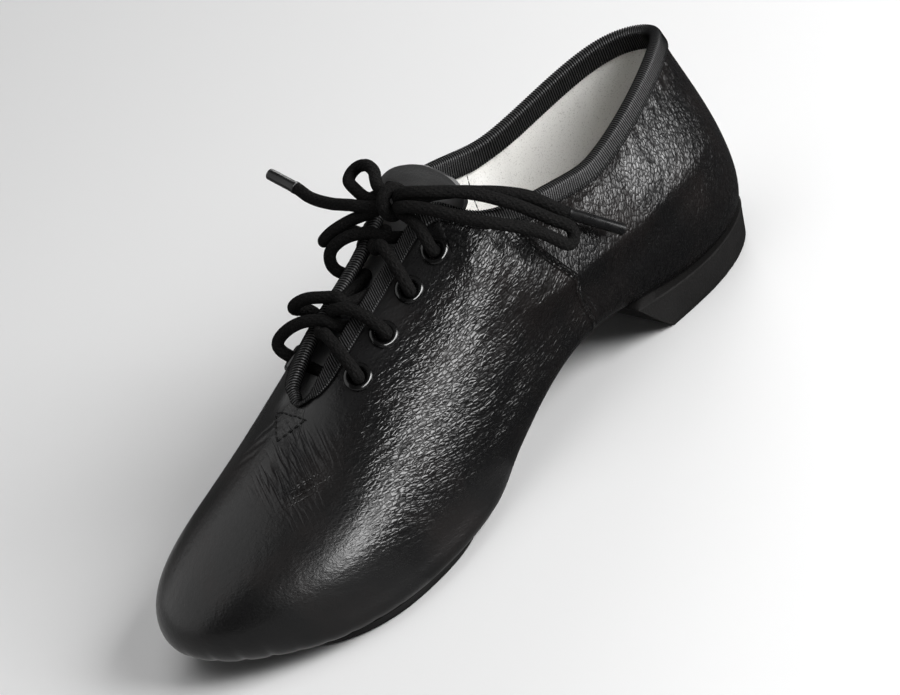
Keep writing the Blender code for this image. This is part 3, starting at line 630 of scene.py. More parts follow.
def sculptLeather(points, t, down):
    along = np.roll(points, -1, 0) - np.roll(points, 1, 0)
    normals = unit(np.cross(along, np.gradient(points, axis=1)) + 1e-12)
    x, y, z = (points[..., k] / mm for k in range(3))
    fromHeel = np.minimum(t, ringCount - t)[:, None]
    fromToe = np.abs(t - toeTip)[:, None]
    arc = runAlong(widestLine(t))[:, None]
    out = upper["seamRise"] * bell(seamOff(points, t, down), 0, upper["seamHalf"])
    # the outer quarter leans in above its crest and falls in below it
    crest = np.array(upper["bulge"])
    above = z - np.interp(x, crest[:, 0], crest[:, 1])
    lean = np.clip(1 - above / upper["bulgeAbove"], 0, 1)
    lean = np.where(above > 0, lean, bell(above, 0, upper["bulgeBelow"]))
    out += np.where(normals[..., 1] > turnedTo["side"], lean * np.interp(x, crest[:, 0], crest[:, 2]), 0)
    # middle seam under the arch
    fromMiddle = np.abs(y - midlineY(points[..., 0]) / mm)
    arch = fromHeel > last["archStart"] - upper["archFade"]
    arch = arch & (fromHeel < last["archEnd"] + upper["archFade"])
    seam = sum(height * bell(fromMiddle, middle, half) for height, middle, half in upper["archSeam"])
    out += np.where(arch & (normals[..., 2] < turnedTo["down"]), seam, 0)
    # gathers where the leather is drawn in under the toes
    row = np.arange(points.shape[1])[None] - upper["sideRows"]
    pleat = (1 - np.abs(np.sin(waves(arc, upper["gatherPitch"], upper["gatherWander"]))))**2
    edge = gathers(fromToe, row, upper["gathersEdge"]) * (t[:, None] < toeTip + upper["edgeEnd"])
    out -= np.maximum(gathers(fromToe, row, upper["gathersUnder"]), edge) * pleat * upper["gatherDepth"]
    # the outer wall's foot stands out over the pad
    foot = bell(z, *upper["foot"]) * fadeIn(x, *upper["footFrom"]) * (1 - fadeIn(x, *upper["footTo"]))
    out += upper["footOut"] * foot * np.clip(normals[..., 1] / turnedTo["sideFully"], 0, 1)
    # small puckers under the ribbon
    pucker = np.sin(waves(arc, upper["puckerPitch"] / 2, upper["puckerWander"])) * upper["puckerDepth"]
    out += pucker * bell(down / mm, *upper["pucker"]) * (fromHeel < upper["puckerSections"])
    for x0, y0, x1, y1, depth, width in vampCreases:
        lip = troughAlong(x, y, (x0 + upper["lipOff"], y0), (x1 + upper["lipOff"], y1), width)
        crease = troughAlong(x, y, (x0, y0), (x1, y1), width) - upper["creaseLip"] * lip
        out -= np.where(normals[..., 2] > turnedTo["up"], depth * crease, 0)
    for x0, z0, x1, z1, side, depth, width in sideFolds:
        fold = depth * troughAlong(x, z, (x0, z0), (x1, z1), width)
        out -= np.where(normals[..., 1] * side > turnedTo["side"], fold, 0)
    out *= fadeIn(down / mm, *upper["calmEdge"])
    return points + normals * out[..., None] * mm


# how the grain lies: steepness of its rows along the vamp (x in mm, rise per mm), and on the quarters
grain = {"rowSlope": ((60, -0.6), (85, -0.45), (105, -0.25), (125, 0), (150, 0.25), (185, 0.3), (240, 0.3)),
         "quarterSlope": -1.79,
         # where it is calmer, mm: at the toe, low on the sides of the forefoot, beside the throat
         "toe": (176, 203), "toeGrain": 0.28, "toeTilt": 0.6, "toeHeight": 25,
         "low": (12, 25), "lowFrom": (100, 130), "lowCalm": 0.65,
         "facing": (13, 21), "facingGrain": 0.35, "facingSections": (5.9, 10.4),
         # fine lines below the throat, mm: middle, reach along and across, turn from the shoe's length
         "lines": {"wrinkled": (188.5, 9.5, 11, 11, 0), "folded": (190.8, 16.2, 8, 3.4, -32)},
         "linesAbove": 30, "seamReach": 9}


def grainMarks(points, t, down):
    x, y, z = (points[..., k] / mm for k in range(3))
    fromHeel = np.minimum(t, ringCount - t)[:, None]
    table = np.array(grain["rowSlope"])
    steps = np.arange(0, 241.0)
    bend = -np.cumsum(np.interp(steps, table[:, 0], table[:, 1]))
    vamp = np.stack([x, y, z + np.interp(x, steps, bend)], 2)
    row = unit(np.array((1.0, grain["quarterSlope"])))
    quarter = np.stack([x * row[0] + z * row[1], y, z * row[0] - x * row[1]], 2)
    place = np.where((fromHeel < seamSection(down))[..., None], quarter, vamp) * mm
    fromToe = fadeIn(x + grain["toeTilt"] * (z - grain["toeHeight"]), *grain["toe"])
    low = fadeIn(x, *grain["lowFrom"]) * (1 - fadeIn(z, *grain["low"]))
    strength = (1 - (1 - grain["toeGrain"]) * fromToe) * (1 - grain["lowCalm"] * low)
    beside = (fromHeel > grain["facingSections"][0]) & (fromHeel < grain["facingSections"][1])
    facing = grain["facingGrain"] + (1 - grain["facingGrain"]) * fadeIn(down / mm, *grain["facing"])
    marks = {"grainPlace": place, "grainStrength": strength * np.where(beside, facing, 1.0)}
    for mark, (middleX, middleY, reachX, reachY, degrees) in grain["lines"].items():
        turn = np.radians(degrees)
        p = (x - middleX) * np.cos(turn) + (y - middleY) * np.sin(turn)
        q = (y - middleY) * np.cos(turn) - (x - middleX) * np.sin(turn)
        marks[mark] = np.where(z > grain["linesAbove"], np.exp(-((p / reachX)**4 + (q / reachY)**4)), 0)
    marks["seamOff"] = np.clip(seamOff(points, t, down), -grain["seamReach"], grain["seamReach"])
    return marks


def closedRing(values):
    # rows run down, columns round the shoe and back to the first
    return np.concatenate([values, values[:1]], 0).swapaxes(0, 1)


def makeUpper():
    t = np.arange(ringCount * upper["spokesPerSection"]) / upper["spokesPerSection"]
    length = sideLengths(t)[1][:, -1:]
    down = upper["edge"] + (length - upper["edge"]) * np.linspace(0, 1, upper["sideRows"] + 1)
    tuck, margin, _ = turnedUnder(t, upper["tuckRows"], upper["marginRows"])
    points = np.concatenate([skin(t, down), tuck, margin], 1)
    steps = np.linalg.norm(np.diff(points, axis=1), axis=2)
    run = upper["edge"] + np.hstack([np.zeros((len(t), 1)), np.cumsum(steps, 1)])
    marks = grainMarks(points, t, run)
    points = closedRing(sculptLeather(points, t, run))
    marks = {mark: closedRing(values) for mark, values in marks.items()}
    leather = formedSheet("upper_leather", points, closed=True, **marks)
    punchHoles(leather)
    leather.data.materials.append(finishes["leather"])
    leather.data.materials.append(finishes["lining"])
    applyModifier(leather, "SOLIDIFY", thickness=upper["wall"], offset=-1, material_offset=1,
                  material_offset_rim=1, use_rim=True)
    smoothShade(leather, 60)
    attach(leather, "root")
    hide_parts("upper")
    return leather


def punchHoles(leather):
    # faces inside each eyelet's hole are cut away, and its flange covers their edge
    mesh = leather.data
    centres = np.empty(len(mesh.polygons) * 3)
    mesh.polygons.foreach_get("center", centres)
    centres = centres.reshape(-1, 3) - heelBackToMiddle
    cut = np.zeros(len(mesh.polygons), bool)
    for base, axis, _ in places.values():
        off = centres - base
        high = off @ axis
        wide = np.linalg.norm(off - high[:, None] * axis, axis=1)
        cut |= (np.abs(high) < eyelet["holeReach"]) & (wide < eyelet["hole"])
    makeActive(leather)
    bpy.ops.object.mode_set(mode="EDIT")
    bpy.ops.mesh.select_mode(type="FACE")
    bpy.ops.mesh.select_all(action="DESELECT")
    bpy.ops.object.mode_set(mode="OBJECT")
    mesh.polygons.foreach_set("select", cut)
    bpy.ops.object.mode_set(mode="EDIT")
    bpy.ops.mesh.delete(type="FACE")
    bpy.ops.object.mode_set(mode="OBJECT")


upperLeather = makeUpper()
print("upper made,", len(upperLeather.data.polygons), "faces")


# ribbon folded over the collar and throat edge, with its cross ribs
ribbon = {"outside": 5.5, "inside": 7.0, "outFace": 1.08, "inFace": -2.92, "backOut": 0.5,
          "backIn": -2.35, "foldRise": 0.75, "ribPitch": 0.84 * mm, "ribHeight": 0.17, "stepsPerRib": 4,
          "samples": 4801, "foldPoints": 11,
          "leastHem": 0.18, "hemGrows": (2.4, 3.6)}  # sections from the throat's end


def hemShare(t):
    # how much of the outside hem's width is left, less round the throat's end
    return ribbon["leastHem"] + (1 - ribbon["leastHem"]) * fadeIn(np.abs(t - toeTip), *ribbon["hemGrows"])


def ribbonSection():
    # from the outside hem over the fold to the inside hem and back inside it: down, lift, share of rib
    out, inn = ribbon["outFace"], ribbon["inFace"]
    middle = (out + inn) / 2
    half = (out - inn) / 2
    hem = ribbon["outside"]
    path = [(hem, 0.62, 0), (hem - 0.1, out - 0.1, 0.4), (hem - 0.6, out, 1), (3.8, out + 0.03, 1),
            (2.4, out, 1)]
    for angle in np.linspace(0, np.pi, ribbon["foldPoints"]):
        path.append((1.0 - (1.0 + ribbon["foldRise"]) * np.sin(angle), middle + half * np.cos(angle), 1))
    hem = ribbon["inside"]
    path += [(2.6, inn, 1), (4.4, inn, 1), (hem - 0.5, inn, 1), (hem - 0.05, inn + 0.12, 0.4),
             (hem, ribbon["backIn"], 0), (4.5, ribbon["backIn"], 0), (1.6, ribbon["backIn"], 0)]
    path += [(0.55, ribbon["backIn"] + 0.7, 0), (0.45, middle, 0), (0.55, ribbon["backOut"] - 0.6, 0),
             (1.2, ribbon["backOut"], 0), (3.4, ribbon["backOut"], 0)]
    return np.array(path)


def closedBoth(values):
    values = np.concatenate([values, values[:1]], 0)
    return np.concatenate([values, values[:, :1]], 1)


def makeRibbon():
    fine = np.linspace(0, ringCount, ribbon["samples"])
    fold = skin(fine, [0.0])[:, 0]
    run = runAlong(fold)
    ribs = round(run[-1] / ribbon["ribPitch"])
    steps = ribs * ribbon["stepsPerRib"]
    t = np.interp(np.arange(steps) * run[-1] / steps, run, fine)
    section = ribbonSection()
    turn = np.roll(section[:, :2], -1, 0) - np.roll(section[:, :2], 1, 0)
    outward = unit(np.stack([-turn[:, 1], turn[:, 0]], 1))
    wave = np.cos(2 * np.pi * np.arange(steps) / ribbon["stepsPerRib"])[:, None] * section[:, 2]
    rib = ribbon["ribHeight"] * wave
    outside = (section[:, 1] > 0) & (section[:, 0] > 1)
    down = np.where(outside, 1 + (section[:, 0] - 1) * hemShare(t)[:, None], section[:, 0])
    down = down + rib * outward[:, 0]
    lift = section[:, 1] + rib * outward[:, 1]
    points = skin(t, down * mm, lift * mm)
    # the ridge share kept on the points: the ribbon's finish paints light on the ridges and shade in the
    # gaps from it, and sets its gloss from it
    ridge = closedBoth(0.5 + wave / 2)
    band = formedSheet("ribbon_binding", closedBoth(points), closed=True, ridge=ridge)
    faceOut(band)
    dress(band, 130, "ribbon", "ribbon", "binding")
    print("ribbon made, %.0f mm round" % (run[-1] / mm))


makeRibbon()


def turnedPoints(profile, sides):
    angles = np.linspace(0, 2 * np.pi, sides + 1)
    return np.array([[(r * np.cos(a), r * np.sin(a), z) for r, z in profile] for a in angles]) * mm


def turnTo(axis):
    return np.array(Vector((0, 0, 1)).rotation_difference(Vector(axis)).to_matrix())


def makeEyelets():
    ring = turnedPoints(eyelet["profile"] + eyelet["profile"][:1], eyelet["sides"])
    for (side, k), (base, axis, _) in places.items():
        piece = formedSheet(f"eyelet_{side}_{k}_enamelled", ring @ turnTo(axis).T + base, closed=True)
        faceOut(piece)
        dress(piece, 60, "enamel", "enamel", f"eyelet_{side}_{k}")


makeEyelets()
print("eyelets set,", len(places))

# tongue, mm: x, height of its crown, half width, drop to its edges and middle, from its sewn end to its top
tongueSections = ((184, 47.9, 8, 1.6, 0), (176, 50.2, 12, 2.4, 0), (166, 54, 15, 3, 0),
                  (152, 60, 17, 4.8, 0), (138, 65, 18, 6.5, 0), (124, 69.5, 18.2, 6, 0),
                  (113, 75.5, 17.5, 5.5, 0), (105, 82.5, 18, 4.8, 0.1), (102, 86.2, 20, 4.4, 0.1),
                  (100.6, 88, 17.5, 3.1, 0.2), (100, 88.9, 12.5, 1.6, 0.4), (99.8, 89.2, 6, 0.5, 0.5))
tongue = {"thick": 1.6 * mm, "sweep": 2 * mm, "rows": 80, "across": 30}


def makeTongue():
    sections = np.array(tongueSections, float) * mm
    rows = smoothThrough(sections, np.linspace(0, len(sections) - 1, tongue["rows"] + 1), False)
    across = np.linspace(-1, 1, tongue["across"] + 1)
    x, crown, half, drop, middle = (rows[:, k:k + 1] for k in range(rows.shape[1]))
    swept = x + tongue["sweep"] * (across * half / half.max())**2
    points = np.stack([swept, middle + half * across, crown - drop * across**2], 2)
    flap = formedSheet("tongue_flap", points)
    applyModifier(flap, "SOLIDIFY", thickness=tongue["thick"], offset=-1)
    dress(flap, 60, "tongue", "tongue_leather", "tongue")


makeTongue()
print("tongue made")

# insole: a sock of cloth over thin board
insole = {"thick": 2 * mm, "clear": 0.4 * mm, "inset": 1.2 * mm, "liftStart": 9.5, "toeLift": 1.2 * mm,
          "rows": 120, "across": 24, "edgeRound": 0.6 * mm}


def makeInsole():
    t = np.linspace(0, toeTip, insole["rows"] + 1)
    seat = upper["wall"] + insole["clear"] + insole["toeLift"] * np.clip(t - insole["liftStart"], 0, 1)
    rims = []
    for run in (t, -t):
        rim = turnedUnder(run, 4, 1)[2] + inward(run) * insole["inset"]
        rim[:, 2] += seat + insole["thick"]
        rims.append(rim)
    share = np.linspace(0, 1, insole["across"] + 1)[None, :, None]
    points = rims[0][:, None] * (1 - share) + rims[1][:, None] * share
    sock = formedSheet("insole_sock", points, closed=True)
    applyModifier(sock, "SOLIDIFY", thickness=insole["thick"], offset=-1)
    applyModifier(sock, "BEVEL", width=insole["edgeRound"], segments=2, limit_method="ANGLE",
                  angle_limit=1.0)
    dress(sock, 60, "sock", "insole_board", "insole")


makeInsole()
print("insole laid")

# heel block: a D seen from below, narrower at the floor, with a slanted breast
heel = {"topInset": 2.7, "footInset": 5.2, "topEnd": 3.36, "footEnd": 2.92, "clear": 0.3,
        "footRound": 0.7, "topRound": 0.4, "outlinePoints": 70, "breastPoints": 24, "levels": 12,
        "middle": (30, 1, 0), "rings": (0.02, 0.6, 0.985)}  # rings of both ends, as shares of the outline


def heelOutline(end, inset):
    t = np.linspace(0, end, heel["outlinePoints"])
    lat = widestLine(t) + inward(t) * inset
    med = (widestLine(-t) + inward(-t) * inset)[::-1]
    share = np.linspace(0, 1, heel["breastPoints"] + 2)[1:-1, None]
    breast = lat[-1] * (1 - share) + med[0] * share
    return np.concatenate([lat, breast, med])


def makeHeel():
    centre = np.array(heel["middle"]) * mm
    pole, mid, rounded = heel["rings"]
    rows = []
    for level in np.linspace(0, 1, heel["levels"] + 1):
        end = heel["topEnd"] + (heel["footEnd"] - heel["topEnd"]) * level
        rim = heelOutline(end, (heel["topInset"] + (heel["footInset"] - heel["topInset"]) * level) * mm)
        top = soleLine(rim[:, 0]) - heel["clear"] * mm
        rim[:, 2] = top * (1 - level)
        if level == 0:
            rows += [insetRing(rim, centre, share) for share in heel["rings"]]
            rim[:, 2] -= heel["topRound"] * mm
        if level == 1:
            rim[:, 2] += heel["footRound"] * mm
            rows.append(rim.copy())
            rim = insetRing(rim, centre, rounded)
            rim[:, 2] = 0
            rows += [rim, insetRing(rim, centre, mid)]
            rim = insetRing(rim, centre, pole)
        rows.append(rim)
    points = np.array(rows)
    points = np.concatenate([points, points[:, :1]], 1)
    block = formedSheet("heel_block", points, closed=True)
    closeEnds(block)
    dress(block, 35, "heel", "heel_rubber", "heel")


def insetRing(rim, centre, share):
    ring = centre + (rim - centre) * share
    ring[:, 2] = rim[:, 2].mean() if share == heel["rings"][0] else rim[:, 2]
    return ring


def closeEnds(piece):
    # the small rings left at the poles are filled, and the shell is turned to face out
    mergeClose(piece)
    bpy.ops.object.mode_set(mode="EDIT")
    bpy.ops.mesh.select_mode(type="EDGE")
    bpy.ops.mesh.select_all(action="DESELECT")
    bpy.ops.mesh.select_non_manifold(extend=False, use_wire=False, use_multi_face=False,
                                     use_non_contiguous=False, use_verts=False)
    bpy.ops.mesh.fill_holes(sides=0)
    faceOut(piece)


makeHeel()
print("heel made")

# forefoot pad: a rounded oval of rubber with rows of low studs
pad = {"thick": 3.0, "centre": (177, -2), "half": (40, 36.5), "squareness": 2.3, "clear": 0.3, "around": 180,
       # rings from the middle of the top round to the middle of the tread: share of the outline, height
       # (1 at the top, 0 at the tread), and how far up from the tread, mm
       "rings": ((0.02, 1, 0), (0.5, 1, 0), (0.98, 1, 0), (1.0, 0.85, 0), (1.004, 0.5, 0), (1.0, 0, 0.75),
                 (0.99, 0, 0.25), (0.975, 0, 0.02), (0.95, 0, 0.0), (0.935, 0, 0.45), (0.6, 0, 0.5),
                 (0.3, 0, 0.5), (0.02, 0, 0.5))}
# studs, mm: radius and height of their rings, from the foot in the rubber down to the floor
stud = {"pitch": 3.3, "rings": ((1.1, 0.62), (1.1, 0.5), (0.75, 0.05), (0.525, 0)), "sides": 8, "band": 0.89,
        "rows": 14}


def padOutline(scale):
    angle = np.linspace(0, 2 * np.pi, pad["around"] + 1)
    sides = []
    for wave, centre, half in zip((np.cos(angle), np.sin(angle)), pad["centre"], pad["half"]):
        sides.append(centre + np.sign(wave) * np.abs(wave)**(2 / pad["squareness"]) * half * scale)
    return np.stack(sides, 1)


def padFloor(x):
    return np.maximum(soleLine(x * mm) / mm - pad["clear"] - pad["thick"], 0)


def makePad():
    rows = []
    for scale, level, up in pad["rings"]:
        ring = padOutline(scale)
        low = padFloor(ring[:, 0]) + up
        high = soleLine(ring[:, 0] * mm) / mm - pad["clear"]
        rows.append(np.column_stack([ring, low + (high - low) * level]) * mm)
    rubber = formedSheet("forefoot_rubber", np.array(rows), closed=True)
    closeEnds(rubber)
    dress(rubber, 50, "pad", "forefoot_rubber", "forefoot_sole")


def makeStuds():
    spots = []
    rowStep = stud["pitch"] * np.sqrt(3) / 2
    for i in range(-stud["rows"], stud["rows"] + 1):
        for j in range(-stud["rows"], stud["rows"] + 1):
            spot = np.array((i * rowStep, (j + 0.5 * (i % 2)) * stud["pitch"]))
            if (np.abs(spot / pad["half"])**pad["squareness"]).sum() < stud["band"]**pad["squareness"]:
                spots.append(spot + pad["centre"])
    spots = np.array(spots)
    turns = np.arange(stud["sides"]) * 2 * np.pi / stud["sides"]
    form = np.array([(r * np.cos(a), r * np.sin(a), z) for r, z in stud["rings"] for a in turns])
    centres = np.column_stack([spots, padFloor(spots[:, 0])])
    tread = joinedCopies("forefoot_tread", (centres[:, None] + form) * mm, stud["sides"])
    dress(tread, 30, "pad", "forefoot_rubber")


def joinedCopies(name, copies, sides):
    # one piece of many small forms, each made of rings of points and closed at both ends
    count, size = copies.shape[:2]
    form = [tuple(range(sides)), tuple(range(size - sides, size))]
    for first in range(0, size - sides, sides):
        for k in range(sides):
            after = (k + 1) % sides
            form.append((first + k, first + after, first + sides + after, first + sides + k))
    faces = [tuple(copy * size + point for point in face) for copy in range(count) for face in form]
    mesh = bpy.data.meshes.new(name)
    mesh.from_pydata((copies.reshape(-1, 3) + heelBackToMiddle).tolist(), [], faces)
    mesh.update()
    piece = bpy.data.objects.new(name, mesh)
    bpy.context.collection.objects.link(piece)
    faceOut(piece)
    return piece


makePad()
makeStuds()
print("forefoot pad made")

# stitches: one small capsule, copied along each row; its rings are place along it and radius
stitch = {"pitch": 2.5, "length": 1.8, "thick": 0.6, "sink": 0.1 * mm, "proud": 0.1 * mm, "sides": 6,
          "rings": ((-0.5, 0.25), (-0.32, 0.85), (0.0, 1.0), (0.32, 0.85), (0.5, 0.25))}
# rows of stitches, mm: on the ribbon outside and inside, along the side seams, at the counter's edge, the
# triangle below the throat, tacks at the heel end, and the lining's seam
ribbonRows = {"outside": 3.5, "inside": 6.0, "points": 721, "thick": 0.42}
seamRows = {"down": (6.5, 44, 60), "apart": (-0.1, 0.1)}
counterRow = {"sections": (2.75, 3.62, 30), "down": (27.5, 31.2, 30), "pitch": 2.9, "length": 1.5}
triangle = {"corners": ((175.9, -8.7), (175.9, 5.7), (184.2, -0.5), (175.9, -8.7)), "proud": 0.2 * mm,
            "points": 12, "pitch": 2.2, "length": 1.7,
            # the leather searched for its points: sections, and down from the edge
            "sections": (9, 15, 241), "down": (2, 34, 129)}
tacks = {"places": ((2.75, 34.3), (2.9, 33.6)), "reach": 0.03, "drop": 0.8, "pitch": 2.0, "length": 1.4}
liningRow = {"section": 3.5, "down": (7.6, 34, 40), "pitch": 2.0, "length": 1.9, "thick": 0.4}


def stitchRow(line, normals, pitch=stitch["pitch"], length=stitch["length"]):
    # stitches along a line of points: centre, direction, normal and length of each
    run = runAlong(line)
    pitch = pitch * mm
    stops = np.arange(pitch / 2, run[-1], pitch)
    ahead = unit(pointsAt(stops + 0.2 * pitch, run, line) - pointsAt(stops - 0.2 * pitch, run, line))
    normal = unit(pointsAt(stops, run, normals))
    return [(*found, length * mm) for found in zip(pointsAt(stops, run, line), ahead, normal)]


def sewStitches(name, rows, thick=stitch["thick"]):
    turns = np.arange(stitch["sides"]) * 2 * np.pi / stitch["sides"]
    form = np.array([(a, r * np.cos(turn), r * np.sin(turn)) for a, r in stitch["rings"] for turn in turns])
    copies = []
    for centre, ahead, normal, length in rows:
        side = unit(np.cross(normal, ahead))
        sizes = form * (length, thick * mm / 2, thick * mm / 2)
        copies.append(centre - normal * stitch["sink"] + sizes @ (ahead, side, np.cross(ahead, side)))
    piece = joinedCopies(name, np.array(copies), stitch["sides"])
    dress(piece, 60, "thread", "upper_leather")


def skinLine(t, down, lift):
    t = np.asarray(t, float)
    down = np.broadcast_to(down, t.shape)
    points = np.array([skin(a, [d], lift)[0, 0] for a, d in zip(t, down)])
    outside = np.array([skin(a, [d], lift + 1.0)[0, 0] for a, d in zip(t, down)])
    return points, unit(outside - points)


def sewRibbon():
    t = np.linspace(0, ringCount, ribbonRows["points"])
    hem = (1 + ribbonRows["outside"] * hemShare(t))[:, None] * mm
    outside = skin(t, hem, ribbon["outFace"] * mm + stitch["proud"])[:, 0]
    normals = unit(skin(t, hem, 1.0)[:, 0] - outside)
    inside = skin(t, [ribbonRows["inside"] * mm], ribbon["inFace"] * mm - stitch["proud"])[:, 0]
    rows = stitchRow(outside, normals) + stitchRow(inside, -normals)
    sewStitches("ribbon_stitches", rows, ribbonRows["thick"])


def sewSeams():
    rows = []
    down = np.linspace(*seamRows["down"]) * mm
    for side in (1, -1):
        for off in seamRows["apart"]:
            rows += stitchRow(*skinLine(side * (seamSection(down) + off), down, stitch["proud"]))
        edge = np.linspace(*counterRow["sections"]), np.linspace(*counterRow["down"]) * mm
        rows += stitchRow(*skinLine(side * edge[0], edge[1], 0.0), counterRow["pitch"], counterRow["length"])
    share = np.linspace(0, 1, triangle["points"])[:, None]
    for start, end in zip(triangle["corners"], triangle["corners"][1:]):
        line, normals = vampPoints((np.array(start) * (1 - share) + np.array(end) * share) * mm)
        rows += stitchRow(line + normals * triangle["proud"], normals, triangle["pitch"], triangle["length"])
    for t, drop in tacks["places"]:
        ends = np.array((t - tacks["reach"], t + tacks["reach"]))
        line = skinLine(ends, np.array((drop, drop + tacks["drop"])) * mm, 0.0)
        rows += stitchRow(*line, tacks["pitch"], tacks["length"])
    sewStitches("seam_stitches", rows)


def sewLining():
    down = np.linspace(*liningRow["down"]) * mm
    line, normals = skinLine(0 * down - liningRow["section"], down, -upper["wall"] - stitch["proud"])
    rows = stitchRow(line, -normals, liningRow["pitch"], liningRow["length"])
    sewStitches("lining_stitches", rows, liningRow["thick"])


def vampPoints(plan):
    # points of the leather's outside above places seen from above, near the throat's end
    t = np.linspace(*triangle["sections"])
    down = np.linspace(*triangle["down"]) * mm
    surface = skin(t, down).reshape(-1, 3)
    normals = unit(skin(t, down, 1.0).reshape(-1, 3) - surface)
    near = [np.argmin(np.linalg.norm(surface[:, :2] - p, axis=1)) for p in plan]
    return surface[near], normals[near]


sewRibbon()
sewSeams()
sewLining()
print("stitches sewn")

# lace: round cotton cord through the eyelets, tied in a bow
lace = {"radius": 1.9 * mm, "sides": 18, "spacing": 0.9 * mm, "inEyelet": -4.2, "rise": 4.0,
        # under the facing on its way to the next eyelet: sections behind that, down, lift
        "underFacing": ((0.22, 3.5, -4.9), (0.08, 9.0, -3.8)), "bottomOff": (1.5, 0, 0.6),
        "samplesPerPoint": 60, "firstSide": (0.3, 0.2, 0.93),
        # rounded ends: share of the radius, how far back
        "caps": ((0.05, 0.42), (0.55, 0.34), (0.88, 0.14))}
# crossings, lowest first, mm: from above each eyelet over the edge to the middle, the last two into the knot
crossings = (
    {"lat": ((157.2, 7.0, 69.6), (154.8, 0.6, 68.2), (153.4, -2.2, 68.4)),
     "med": ((159.6, -18.3, 65), (157.3, -14.3, 68.5), (154.2, -7.3, 70.9), (151.9, -0.4, 70.8),
             (150.6, 1.9, 68.9))},
    {"lat": ((147.6, 7.5, 73.4), (146.8, -1.6, 71)),
     "med": ((149.2, -18.6, 69.4), (149.6, -15.6, 72.4), (147.8, -10.6, 74), (146, -5.4, 74),
             (144.4, -0.2, 73.3), (143, 3.2, 71.4))},
    {"lat": ((127.8, 7.6, 80.4), (126.3, 1.4, 78.2), (124.4, -2.2, 78)),
     "med": ((131.4, -16.9, 76.4), (128.9, -13.5, 79.8), (125.5, -8.2, 81.2), (122.6, -3.2, 80.4),
             (121.2, 0.4, 78.4))},
    {"lat": ((119.6, 17.2, 82.8), (118.4, 13.2, 84.8), (117.4, 9.4, 85), (116.9, 6.6, 86),
             (116.3, 5, 87.2)),
     "med": ((124.5, -21.6, 77.8), (129, -20.6, 79.2), (127.4, -17.8, 81.4), (124.2, -13.6, 83.2),
             (121.2, -9.4, 84.2), (118.4, -3.2, 85.6), (116.6, 1.2, 86.8))},
)
# the bow, mm: each route starts inside the knot, and the loops end there too
bow = {
    "loop_lat": ((115.4, 6.6, 89.4), (115.5, 9.2, 91.5), (114.4, 13.4, 92), (111.4, 18.6, 90.7),
                 (106.9, 22.6, 88), (102.6, 26.4, 84.4), (98.6, 30.1, 80), (94.8, 33.2, 75),
                 (91.6, 35.5, 70.2), (89.2, 36.8, 66.6), (87.2, 37.7, 64.1), (86.2, 38.4, 61.7),
                 (86.9, 39.1, 59.5), (89.1, 39.7, 58.7), (91.3, 39.9, 60.1), (93.8, 39.8, 63.9),
                 (97.1, 39.3, 68.7), (100.7, 38.3, 72.9), (105.7, 35.7, 77.5), (109.7, 31.4, 81.2),
                 (112.9, 26.3, 84.6), (115.8, 20, 87.9), (117.8, 13.8, 89.3), (118.2, 10.6, 88.9),
                 (117.2, 7.4, 87.9)),
    "loop_med": ((115, 1.8, 89.6), (114.2, -2.6, 90.9), (112.2, -6, 91.2), (110.4, -8.2, 91.6),
                 (108.7, -10.5, 91.8), (106.8, -14.9, 91.6), (106.1, -18.4, 91), (106.5, -21.2, 90.3),
                 (108.3, -22.8, 89.4), (110.7, -22.3, 88.7), (112.4, -20, 88.4), (113.9, -15.9, 87.9),
                 (115.4, -11.2, 87.5), (116.4, -6, 88), (115.6, 0, 87.8)),
    "end_lat": ((114.8, 6.4, 86.8), (113.5, 9.9, 87), (111, 12.7, 87.4), (108.6, 15.5, 87.3),
                (106.2, 18.3, 86.6), (103.6, 20.8, 85.4), (101, 22.9, 83.7), (98.2, 24.8, 81.9),
                (95.5, 26.5, 80), (92.9, 28.1, 77.9), (90.4, 29.7, 75.6), (88.1, 30.9, 72.8),
                (86.1, 31.8, 69.8), (84.1, 32.4, 66.7), (82, 33, 63.6)),
    "end_med": ((117, 0.8, 87.2), (118.3, -2.1, 87.2), (119.4, -5.2, 87.4), (120.1, -8.3, 87.7),
                (120.4, -11.5, 87.8), (120.4, -14.7, 87.4), (120.1, -17.8, 86.8), (119.7, -20.9, 86.1),
                (119.4, -24.1, 85.7), (119, -27.2, 85.3), (118.7, -30.4, 85.1), (118.3, -33.6, 85),
                (117.8, -36.8, 85.1), (117.1, -39.9, 85.5), (116.4, -43, 86)),
}
tips = {"lat": (68, 36.2, 47.2), "med": (116.2, -55.1, 89.8)}
knot = {"centre": (116.0, 3.8, 88.2), "radii": (3.8, 4.3), "turns": 1.2, "spread": 1.1, "start": 2.0,
        "points": 40}


def smoothRoute(route):
    knots = np.array(route, float) * mm
    fine = smoothThrough(knots, np.linspace(0, len(knots) - 1, lace["samplesPerPoint"] * len(knots)), False)
    run = runAlong(fine)
    stops = np.linspace(0, run[-1], max(3, round(run[-1] / lace["spacing"])) + 1)
    return pointsAt(stops, run, fine), run[-1]


def cordRows(path):
    # rings along the path, each turned as little as can be from the last, with rounded ends
    ahead = unit(np.gradient(path, axis=0))
    side = unit(np.cross(ahead[0], lace["firstSide"]))
    angles = np.linspace(0, 2 * np.pi, lace["sides"] + 1)[:, None]
    rings = []
    for direction in ahead:
        side = unit(side - direction * (side @ direction))
        rings.append((np.cos(angles) * side + np.sin(angles) * np.cross(direction, side)) * lace["radius"])
    rows = [point + ring for point, ring in zip(path, rings)]
    for share, back in reversed(lace["caps"]):
        reach = back * lace["radius"]
        rows.insert(0, path[0] - ahead[0] * reach + rings[0] * share)
        rows.append(path[-1] + ahead[-1] * reach + rings[-1] * share)
    return np.array(rows)


